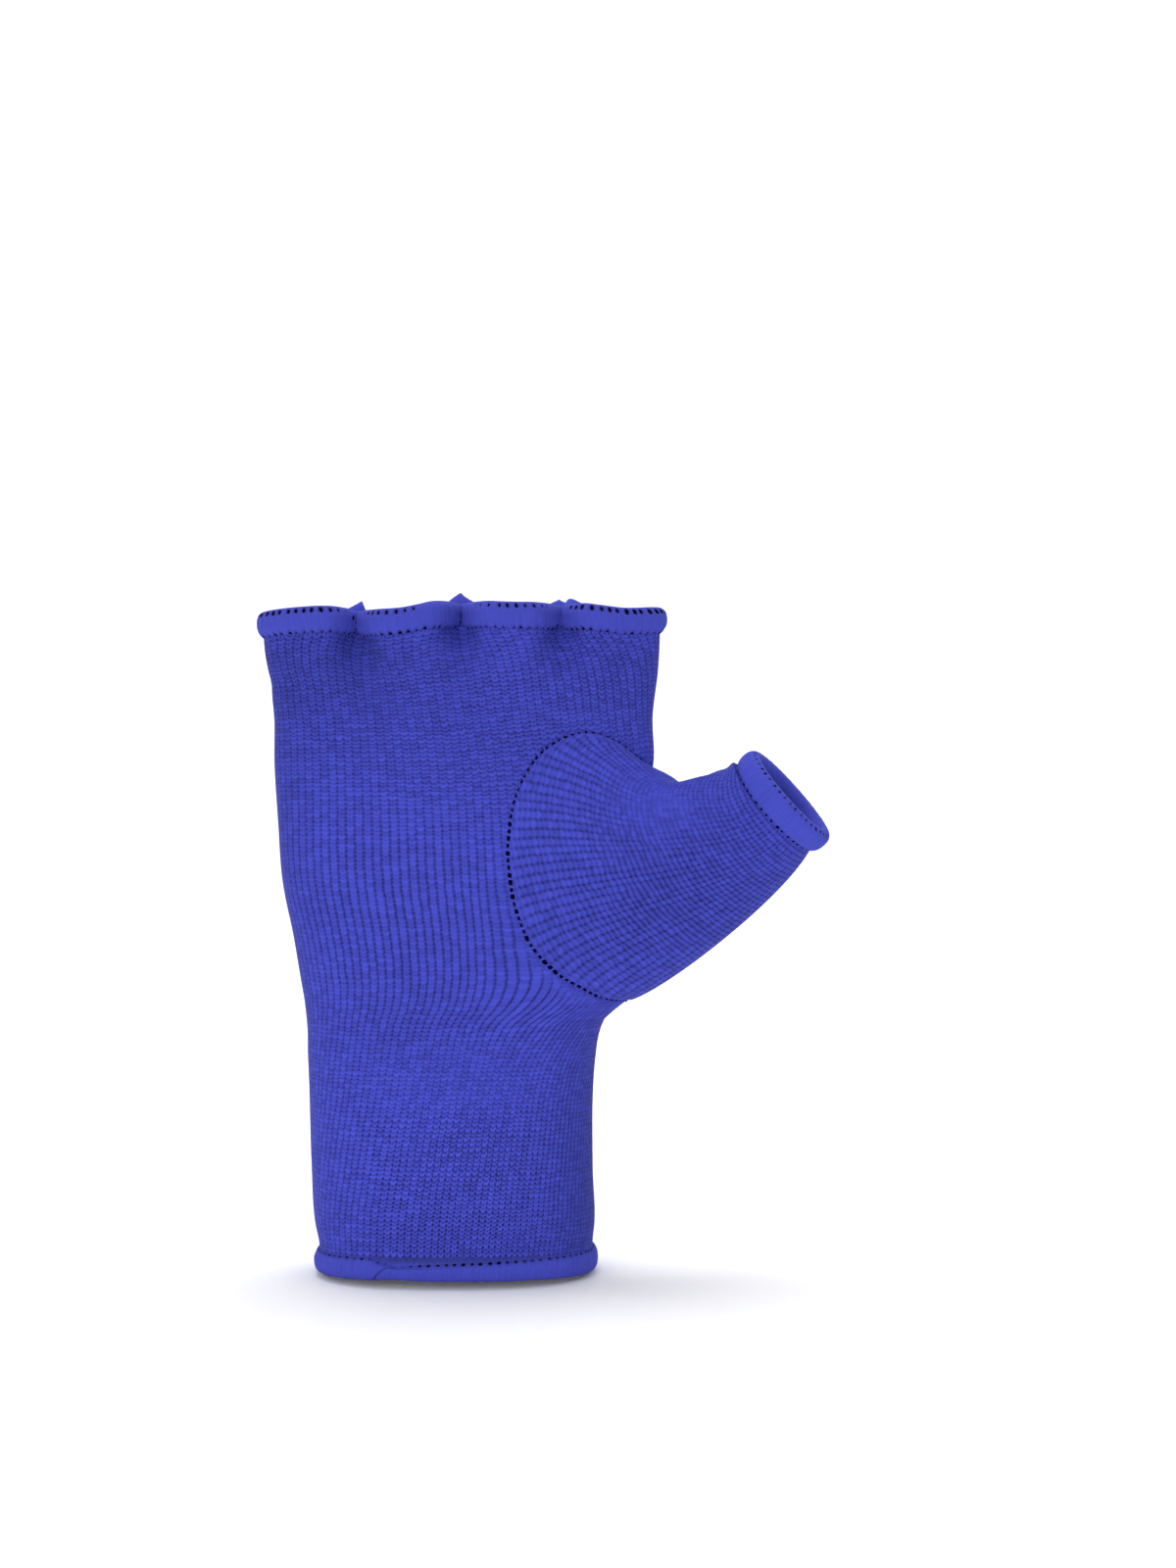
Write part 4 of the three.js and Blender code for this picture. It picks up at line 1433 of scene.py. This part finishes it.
def on_palm_front(roll, spots):
    """The binding's points on the palm's side that lie closest to these places and heights."""
    front = np.ix_(roll.edge.points[:, 1] < 0, roll.turn < 90)
    points = roll.points[front].reshape(-1, 3)
    normals = roll_normals(roll)[front].reshape(-1, 3)
    found = [np.argmin(np.hypot(points[:, 0] - x, points[:, 2] - z)) for x, z in spots]
    return points[found], normals[found]


def turn_outwards(mesh):
    """Turns a closed mesh's faces round if they point inwards."""
    points = np.zeros(len(mesh.vertices) * 3)
    mesh.vertices.foreach_get("co", points)
    points = points.reshape(-1, 3)
    mesh.calc_loop_triangles()
    corners = np.zeros(len(mesh.loop_triangles) * 3, int)
    mesh.loop_triangles.foreach_get("vertices", corners)
    a, b, c = np.moveaxis(points[corners.reshape(-1, 3)], 1, 0)
    if dot(a, np.cross(b, c)).sum() < 0:
        mesh.flip_normals()


def tack_spots():
    """The three places where palm and back are sewn together, at the edge of the palm."""
    left, right = through(SECTIONS, TOP_EDGE)[:2]
    across = np.array([pinch.across for pinch in PINCHES])
    x = (left + right + across * (right - left)) / 2
    return knit_point(around_at(x, np.full(3, TOP_EDGE)), np.full(3, TOP_EDGE))


# How tacks and lips shape the bindings, in millimetres, and how dark the painted shadow lies on them.
ROLL_SHADOW, TACK_SHADOW, TACK_SHADOW_WIDTH = 0.08, 0.35, 0.2
TACK_WIDTH = 1.3  # how far from a tack the finger binding is squeezed
TACK_HOLD = 0.5  # the share of the deeper lip that a tack takes back
FINGER_LIP, THUMB_LIP = -0.9, -1.1  # how much lower the lip lies on the palm's side
JOIN_SQUEEZE, JOIN_WIDTH = 1.2, 6
JOIN_SHADOW, JOIN_SHADOW_WIDTH = 0.75, 0.3
PALM_EDGE = (1, 3)  # from the middle plane, where palm and back begin to count as such


def finger_roll(sizes):
    """The finger openings' binding, drawn together at the tacks, deeper on the palm, with peaks behind."""
    edge = tube_edge(TOP_EDGE, sizes.finger_columns, np.array([0.0, 0.0, 1.0]))
    x = edge.points[:, :1]
    gap = np.abs(x - tack_spots()[None, :, 0]).min(axis=1, keepdims=True)
    peak_rise = np.zeros_like(x)
    for peak in PEAKS:
        slope = np.where(x < peak.x, (peak.x - x) / peak.left, (x - peak.x) / peak.right)
        peak_rise = np.maximum(peak_rise, peak.rise * np.maximum(0, 1 - slope))
    on_back = smoothstep(*PALM_EDGE, edge.points[:, 1:2])
    on_palm = smoothstep(*PALM_EDGE, -edge.points[:, 1:2])
    shadow = ROLL_SHADOW + TACK_SHADOW * np.exp(-((gap / TACK_SHADOW_WIDTH) ** 2))
    squeeze = np.exp(-((gap / TACK_WIDTH) ** 2))
    deeper = FINGER_LIP * on_palm * (1 - TACK_HOLD * squeeze)
    peak_rise *= on_back
    return rolled("finger", edge, sizes.finger_girth / MM, sizes, squeeze, shadow, deeper, peak_rise)


def thumb_roll(sizes):
    """The binding of the thumb's opening, with a deeper lip on the palm's side."""
    edge = thumb_edge(sizes.thumb_columns)
    deeper = THUMB_LIP * np.maximum(0, -edge.normals[:, 1:2])
    return rolled("thumb", edge, sizes.small_girth / MM, sizes, lip_lift=deeper)


def cuff_roll(sizes):
    """The binding of the cuff, with its left end over its right one on the palm's side."""
    edge = tube_edge(CUFF_EDGE, sizes.cuff_columns, np.array([0.0, 0.0, -1.0]))
    palm = edge.points[:, 1:2] < 0
    past = roll_section(1, sizes)[1]
    from_join = edge.points[:, :1] - sizes.cuff_join / MM + past[None, :] * JOIN_SLOPE
    left = (from_join < 0).mean(axis=1, keepdims=True)
    lip = through(CUFF_LIP, edge.points[:, 0])
    lift = np.where(palm, lip[:, :1] * left + lip[:, 1:] * (1 - left), 0)
    right = palm & (from_join >= 0)
    squeeze = np.where(right, np.exp(-((from_join / JOIN_WIDTH) ** 2)), 0)
    squeeze = squeeze.mean(axis=1, keepdims=True) * JOIN_SQUEEZE
    shadow = np.where(palm, np.exp(-((from_join / JOIN_SHADOW_WIDTH) ** 2)), 0) * JOIN_SHADOW
    return rolled("cuff", edge, sizes.small_girth / MM, sizes, squeeze, shadow, lift)


ROLLS = {"finger": finger_roll, "thumb": thumb_roll, "cuff": cuff_roll}


class BindingOperator:
    """What the three bindings' operators share."""

    def execute(self, context):
        sizes = context.scene.glove_binding
        piece = roll_piece(f"{self.binding}_roll", ROLLS[self.binding](sizes), sizes)
        finish_piece(piece, f"{self.binding}_binding")
        return {"FINISHED"}


class GLOVE_OT_finger_binding(BindingOperator, bpy.types.Operator):
    """Roll the binding round the finger openings"""

    bl_idname = "glove.finger_binding"
    bl_label = "Finger binding"
    binding = "finger"


class GLOVE_OT_thumb_binding(BindingOperator, bpy.types.Operator):
    """Roll the binding round the thumb's opening"""

    bl_idname = "glove.thumb_binding"
    bl_label = "Thumb binding"
    binding = "thumb"


class GLOVE_OT_cuff_binding(BindingOperator, bpy.types.Operator):
    """Roll the binding round the cuff, with its ends over each other on the palm's side"""

    bl_idname = "glove.cuff_binding"
    bl_label = "Cuff binding"
    binding = "cuff"


def row_of_points(name, points, along, outwards, size):
    """Loose points with the ways that a stitch needs."""
    values = {"along": along, "outwards": outwards, "size": size}
    return mesh_object(name, points, np.zeros((0, 4), int), None, values)


# The seam's two kinds of grains, its thread and the dark grains of painted shade that stand for its needle
# holes: how far each is shifted, in pitches, and how far it stands out.
SEAM_GRAINS = (("thread", 0.0, 0.18), ("hole", 0.5, 0.10))

# How hard the seam is pulled: its least, what the palm adds and what the low arc adds, and between which
# shares of the seam's length each begins and both end.
PULL_LEAST, PULL_PALM, PULL_LOW = 0.6, 0.4, 0.35
PALM_BEGINS, LOW_BEGINS, PULL_ENDS = (0.09, 0.2), (0.2, 0.32), (0.46, 0.52)
FAINTEST = 0.12  # marks of a binding that are weaker aren't laid


class GLOVE_OT_seam(bpy.types.Operator):
    """Sew the thumb piece in: stitches across the seam, and between each two a dark grain of painted shade
    for a needle hole
    """

    bl_idname = "glove.seam"
    bl_label = "Thumb seam"

    def execute(self, context):
        sizes = context.scene.glove_stitches
        dip_depth = context.scene.glove_knit.seam_dip / MM
        seam = seam_loop(context.scene.glove_knit.seam_points)
        steps = np.linalg.norm(np.roll(seam.points, -1, axis=0) - seam.points, axis=1)
        length = np.concatenate([[0], np.cumsum(steps)])
        at = spaced(length[-1], sizes.seam_pitch / MM, 5, jitter=0.1)
        for kind, shift, depth in SEAM_GRAINS:
            places = (at + shift * sizes.seam_pitch / MM) % length[-1]
            points = sample(length, seam.points, places)
            normals = unit(sample(length, seam.normals, places))
            along = unit(sample(length, seam.along, places))
            middle = unit(sample(length, seam.inwards, places)) * SEAM_GAP / 2
            points = points + middle - normals * (dip_depth - depth)
            share = places / length[-1]
            before = 1 - smoothstep(*PULL_ENDS, share)
            pulled = PULL_LEAST + PULL_PALM * smoothstep(*PALM_BEGINS, share) * before
            pulled = pulled + PULL_LOW * (smoothstep(*LOW_BEGINS, share) * before)
            piece = row_of_points(f"seam_{kind}", points, along, normals, pulled)
            thread = kind == "thread"
            grow(piece, tree_named("Stitches along an edge"), {
                "Length": sizes.seam_length if thread else sizes.hole_length,
                "Width": sizes.seam_thread if thread else sizes.hole_width,
                "Height": sizes.seam_thread if thread else sizes.hole_width * 0.5,
                "Slant": math.radians(70) if thread else 0.0,
                "Uneven": 0.15 if thread else 0.35,
                "Wobble": 0.2,
                "Seed": 3 if thread else 4,
                "Material": material_named("sewing thread" if thread else "needle hole"),
            })
            finish_piece(piece)
        return {"FINISHED"}


class GLOVE_OT_overlock(bpy.types.Operator):
    """Mark the bindings: gaps between the threads and needle holes as dark grains of painted shade, and
    slanted stitches at the lip
    """

    bl_idname = "glove.overlock"
    bl_label = "Overlock stitches"

    def execute(self, context):
        rolls = {name: make(context.scene.glove_binding) for name, make in ROLLS.items()}
        for mark in MARKS:
            roll = rolls[mark.binding]
            places, strong = marks_along(mark, roll.edge)
            points, normals = on_roll(roll, mark.turn, places)
            along = unit(sample(roll.edge.length, roll.edge.along, places))
            thread = mark.name == "stitches"
            if thread:
                normals = unit(sample(roll.edge.length, roll.edge.normals, places))
            kept = strong > FAINTEST
            piece = row_of_points(
                f"{mark.binding}_{mark.name}", points[kept], along[kept], normals[kept], strong[kept]
            )
            grow(piece, tree_named("Stitches along an edge"), {
                "Length": mark.length * MM,
                "Width": mark.width * MM,
                "Height": mark.width * MM * (1 if thread else 0.8),
                "Slant": math.radians(mark.slant),
                "Uneven": 0.15,
                "Wobble": mark.wobble,
                "Seed": mark.seed,
                "Material": material_named("sewing thread" if thread else "needle hole"),
            })
            finish_piece(piece)
        return {"FINISHED"}


# Dark holes beside the tacks, on the palm's binding, laid as grains of painted shade: how long each is, and
# how it is turned.
TackHole = namedtuple("TackHole", "x height length turn")
TACK_HOLES = table(
    TackHole,
    (-23.9, 153.9, 1.1, 75), (-23.3, 152.9, 0.9, 110), (-23.5, 151.5, 0.8, 0), (1.4, 154.8, 0.9, 85),
    (1.5, 154.2, 0.8, 95), (1.3, 152.9, 1.0, 80), (24.0, 152.2, 0.9, 60),
)


class GLOVE_OT_tacks(bpy.types.Operator):
    """Tack palm and back together between the finger openings"""

    bl_idname = "glove.tacks"
    bl_label = "Finger tacks"

    def execute(self, context):
        sizes = context.scene.glove_stitches
        over = []
        for spot in tack_spots():
            for step in range(sizes.tack_threads):
                aside = (step - (sizes.tack_threads - 1) / 2) * sizes.seam_thread / MM * 0.9
                over.append((spot[0] + aside, 0.0, spot[2] + 0.2 * math.cos(aside)))
        count = len(over)
        across = np.tile([0.0, 1.0, 0.0], (count, 1))
        upwards = np.tile([0.0, 0.0, 1.0], (count, 1))
        piece = row_of_points("tack_threads", np.array(over), across, upwards, np.ones(count))
        grow(piece, tree_named("Stitches along an edge"), {
            "Length": sizes.tack_length,
            "Width": sizes.seam_thread,
            "Height": sizes.tack_height,
            "Seed": 80,
            "Material": material_named("sewing thread"),
        })
        finish_piece(piece)

        roll = finger_roll(context.scene.glove_binding)
        points, normals = on_palm_front(roll, [(hole.x, hole.height) for hole in TACK_HOLES])
        turn = np.radians([hole.turn for hole in TACK_HOLES])
        along = np.stack([np.cos(turn), 0 * turn, np.sin(turn)], axis=1)
        along = unit(along - normals * dot(along, normals)[:, None])
        size = np.array([hole.length for hole in TACK_HOLES])
        piece = row_of_points("tack_holes", points, along, normals, size)
        grow(piece, tree_named("Stitches along an edge"), {
            "Length": MM,
            "Width": sizes.hole_width,
            "Height": sizes.hole_width * 0.4,
            "Seed": 81,
            "Material": material_named("needle hole"),
        })
        finish_piece(piece)
        return {"FINISHED"}


# The paper sweep: how much of its radius lies flat and how much bends up, and how finely it is parted.
FLAT_SHARE, BEND_SHARE = 0.7, 0.3
BEND_STEPS, FLOOR_SIDES = 12, 96


class GLOVE_OT_stage(bpy.types.Operator):
    """Set up the pale floor, the soft studio lights and the camera"""

    bl_idname = "glove.stage"
    bl_label = "Studio"

    def execute(self, context):
        studio = context.scene.glove_studio
        profile = [(0.0, 0.0), (studio.floor_radius * FLAT_SHARE, 0.0)]
        bend = studio.floor_radius * BEND_SHARE
        for step in range(1, BEND_STEPS + 1):
            turn = math.radians(90 * step / BEND_STEPS)
            profile.append((profile[1][0] + bend * math.sin(turn), bend * (1 - math.cos(turn))))
        profile.append((studio.floor_radius, studio.floor_radius * 0.9))
        sides = FLOOR_SIDES
        turn = np.arange(sides) / sides * 2 * np.pi
        rings = [
            np.stack([r * np.cos(turn), r * np.sin(turn), np.full(sides, z)], axis=1)
            for r, z in profile[1:]
        ]
        points = np.vstack([np.array([[0.0, 0.0, 0.0]]), *rings]) / MM
        faces = [(0, 1 + k, 1 + (k + 1) % sides) for k in range(sides)]
        for i in range(len(rings) - 1):
            for k in range(sides):
                low, high = 1 + i * sides, 1 + (i + 1) * sides
                right = (k + 1) % sides
                faces.append((low + k, high + k, high + right, low + right))
        mesh = bpy.data.meshes.new("floor")
        mesh.from_pydata((points * MM).tolist(), [], faces)
        mesh.shade_smooth()
        floor = bpy.data.objects.new("floor", mesh)
        context.scene.collection.objects.link(floor)
        floor.location.z = -studio.floor_gap
        paper = bpy.data.materials.new("pale paper")
        paper.use_nodes = True
        wiring = Wiring(paper.node_tree)
        place = wiring.node("ShaderNodeTexCoord").outputs["Object"]
        grain = wiring.noise(place, 400.0, 3.0)
        bump = wiring.node("ShaderNodeBump", {"Height": grain, "Distance": 0.00005, "Strength": 0.3})
        shader = paper.node_tree.nodes["Principled BSDF"]
        shader.inputs["Base Color"].default_value = (*studio.floor_colour, 1.0)
        shader.inputs["Roughness"].default_value = 0.95
        shader.inputs["Specular IOR Level"].default_value = 0.1
        wiring.feed(shader.inputs["Normal"], bump.outputs["Normal"])
        mesh.materials.append(paper)

        aim = Vector((0.01, 0.0, 0.08))
        wall = Vector((0.0, studio.floor_radius * 0.8, 0.1))
        for name, place, size, power in (
            ("key", (-0.3, -1.05, 0.38), 1.1, studio.key_power),
            ("fill", (0.95, -0.75, 0.45), 1.2, studio.fill_power),
            ("back", (0.1, 1.0, 0.9), 1.3, studio.back_power),
            ("wash", (0.0, 0.5, 2.0), 1.6, studio.wash_power),
        ):
            data = bpy.data.lights.new(name, "AREA")
            data.shape = "DISK"
            data.size = size
            data.energy = power
            lamp = bpy.data.objects.new(name, data)
            lamp.location = place
            target = wall if name == "wash" else aim
            lamp.rotation_euler = (target - Vector(place)).to_track_quat("-Z", "Y").to_euler()
            context.scene.collection.objects.link(lamp)

        world = bpy.data.worlds.new("studio")
        world.use_nodes = True
        world.node_tree.nodes["Background"].inputs["Color"].default_value = (1.0, 1.0, 1.0, 1.0)
        world.node_tree.nodes["Background"].inputs["Strength"].default_value = studio.sky
        context.scene.world = world
        context.scene.view_settings.view_transform = "Standard"

        data = bpy.data.cameras.new("camera")
        data.sensor_width = studio.sensor
        data.lens = studio.lens
        camera = bpy.data.objects.new("camera", data)
        camera.location = (studio.camera_x, -studio.camera_distance, studio.camera_height)
        camera.rotation_euler = (math.radians(90), 0.0, 0.0)
        context.scene.collection.objects.link(camera)
        context.scene.camera = camera
        return {"FINISHED"}


def length_property(name, description, default):
    return bpy.props.FloatProperty(
        name=name, description=description, default=default, subtype="DISTANCE", unit="LENGTH",
        precision=5,
    )


def share_property(name, description, default):
    return bpy.props.FloatProperty(
        name=name, description=description, default=default, min=0.0, max=1.0, subtype="FACTOR"
    )


def count_property(name, description, default):
    return bpy.props.IntProperty(name=name, description=description, default=default, min=1)


def colour_property(name, description, default):
    return bpy.props.FloatVectorProperty(
        name=name, description=description, default=default, size=3, min=0.0, max=1.0, subtype="COLOR"
    )


class GloveKnit(bpy.types.PropertyGroup):
    wall: length_property("Wall", "Thickness of the knit", 0.0016)
    wales: count_property("Wales", "Wales round the tube", 108)
    columns_per_wale: count_property("Columns per wale", "Vertices across each wale", 4)
    row_step: length_property("Row step", "Height of a row of faces", 0.0018)
    thumb_course: length_property("Thumb course", "Height of a course on the thumb piece", 0.00119)
    thumb_rows: count_property("Thumb rows", "Rows of faces from the seam to the thumb's rim", 50)
    seam_points: count_property("Seam points", "Vertices along the thumb piece's seam", 400)
    rib_depth: length_property("Rib depth", "Depth of the groove between two wales", 0.00013)
    groove_width: share_property("Groove width", "Share of a wale that its groove takes up", 0.75)
    # Rib shade and row shade are painted shade in the knit's grooves and in the gaps between its courses.
    rib_shade: share_property("Rib shade", "How much darker a groove is", 0.38)
    row_shade: share_property("Row shade", "How much darker the gap between two courses is", 0.4)
    stitch_rise: length_property("Stitch rise", "Height of a stitch over the gaps round it", 0.0002)
    seam_dip: length_property("Seam dip", "How far the cloth is pulled in at the seam", 0.0003)


class GloveBinding(bpy.types.PropertyGroup):
    finger_girth: length_property("Finger girth", "From the knit's middle to the roll's outside", 0.0024)
    small_girth: length_property("Small girth", "The same for thumb and cuff", 0.00205)
    crest: length_property("Crest", "How far the roll stands past the knit's edge", 0.0018)
    middle: length_property("Middle", "Where the roll is fattest, past the edge", -0.00105)
    lip: length_property("Lip", "Where the roll ends, past the edge", -0.0039)
    crest_squareness: bpy.props.FloatProperty(
        name="Crest squareness", description="2 is round, more is squarer", default=2.4, min=2.0
    )
    lip_squareness: bpy.props.FloatProperty(
        name="Lip squareness", description="2 is round, more is squarer", default=2.2, min=2.0
    )
    knit_wall: length_property("Knit wall", "Thickness of the knit that the roll holds", 0.0016)
    thread_pitch: length_property("Thread pitch", "From one overlock thread to the next", 0.0005)
    cuff_join: length_property("Cuff join", "Where the cuff's binding ends, across the palm", -0.0165)
    finger_columns: count_property("Finger columns", "Vertices along the finger binding", 1720)
    thumb_columns: count_property("Thumb columns", "Vertices along the thumb binding", 640)
    cuff_columns: count_property("Cuff columns", "Vertices along the cuff binding", 1400)


class GloveStitches(bpy.types.PropertyGroup):
    seam_pitch: length_property("Seam pitch", "From one stitch of the thumb's seam to the next", 0.0017)
    seam_length: length_property("Seam stitch", "Length of a stitch across the seam", 0.0013)
    seam_thread: length_property("Seam thread", "Thickness of the seam's thread", 0.00034)
    hole_length: length_property("Hole length", "Length of a needle hole", 0.0009)
    hole_width: length_property("Hole width", "Width of a needle hole", 0.0006)
    tack_length: length_property("Tack length", "Reach of a tack from palm to back", 0.0062)
    tack_height: length_property("Tack height", "Height of a tack's threads", 0.0016)
    tack_threads: count_property("Tack threads", "Threads side by side in a tack", 5)


class GloveColours(bpy.types.PropertyGroup):
    knit: colour_property("Knit", "Colour of the knit's yarn", (0.054, 0.066, 0.51))
    binding: colour_property("Binding", "Colour of the overlock threads", (0.054, 0.066, 0.48))
    thread: colour_property("Thread", "Colour of the sewing thread", (0.058, 0.07, 0.54))
    # Painted shade: the near-black of the grains that stand for needle holes and gaps.
    hole: colour_property("Hole", "Colour deep in a needle hole", (0.002, 0.002, 0.02))


class GloveStudio(bpy.types.PropertyGroup):
    floor_colour: colour_property("Floor colour", "Colour of the paper sweep", (0.98, 0.98, 0.98))
    floor_radius: length_property("Floor radius", "Reach of the paper sweep", 2.4)
    floor_gap: length_property("Floor gap", "How far the floor lies below the cuff", 0.0004)
    key_power: bpy.props.FloatProperty(name="Key", description="Front light", default=6.1, unit="POWER")
    fill_power: bpy.props.FloatProperty(name="Fill", description="Side light", default=0.5, unit="POWER")
    back_power: bpy.props.FloatProperty(name="Back", description="Rear light", default=1.5, unit="POWER")
    wash_power: bpy.props.FloatProperty(
        name="Wash", description="Light on the paper", default=34.0, unit="POWER"
    )
    sky: bpy.props.FloatProperty(name="Sky", description="Strength of the surroundings", default=0.39)
    camera_x: length_property("Camera x", "Camera's place across the palm", 0.0312)
    camera_distance: length_property("Camera distance", "From the middle plane of the glove", 0.550)
    camera_height: length_property("Camera height", "Height of the level camera", 0.1149)
    lens: bpy.props.FloatProperty(
        name="Lens", description="Focal length", default=53.2, unit="CAMERA", subtype="DISTANCE_CAMERA"
    )
    sensor: bpy.props.FloatProperty(
        name="Sensor", description="Long side", default=36.0, unit="CAMERA", subtype="DISTANCE_CAMERA"
    )


SETTINGS = {
    "glove_knit": GloveKnit,
    "glove_binding": GloveBinding,
    "glove_stitches": GloveStitches,
    "glove_colours": GloveColours,
    "glove_studio": GloveStudio,
}
OPERATORS = (
    GLOVE_OT_tube,
    GLOVE_OT_thumb,
    GLOVE_OT_finger_binding,
    GLOVE_OT_thumb_binding,
    GLOVE_OT_cuff_binding,
    GLOVE_OT_seam,
    GLOVE_OT_overlock,
    GLOVE_OT_tacks,
    GLOVE_OT_stage,
)


class GLOVE_PT_panel(bpy.types.Panel):
    bl_label = "Knitted inner glove"
    bl_idname = "GLOVE_PT_panel"
    bl_space_type = "VIEW_3D"
    bl_region_type = "UI"
    bl_category = "Glove"

    def draw(self, context):
        for operator in OPERATORS:
            self.layout.operator(operator.bl_idname)
        for title, group in SETTINGS.items():
            box = self.layout.box()
            for name in group.__annotations__:
                box.prop(getattr(context.scene, title), name)


def register():
    for group in SETTINGS.values():
        bpy.utils.register_class(group)
    for title, group in SETTINGS.items():
        setattr(bpy.types.Scene, title, bpy.props.PointerProperty(type=group))
    for operator in OPERATORS:
        bpy.utils.register_class(operator)
    bpy.utils.register_class(GLOVE_PT_panel)


def unregister():
    bpy.utils.unregister_class(GLOVE_PT_panel)
    for operator in reversed(OPERATORS):
        bpy.utils.unregister_class(operator)
    for title, group in SETTINGS.items():
        delattr(bpy.types.Scene, title)
        bpy.utils.unregister_class(group)


def main():
    register()
    bpy.ops.glove.tube()
    bpy.ops.glove.thumb()
    bpy.ops.glove.finger_binding()
    bpy.ops.glove.thumb_binding()
    bpy.ops.glove.cuff_binding()
    bpy.ops.glove.seam()
    bpy.ops.glove.overlock()
    bpy.ops.glove.tacks()
    bpy.ops.glove.stage()


if __name__ == "__main__":
    main()
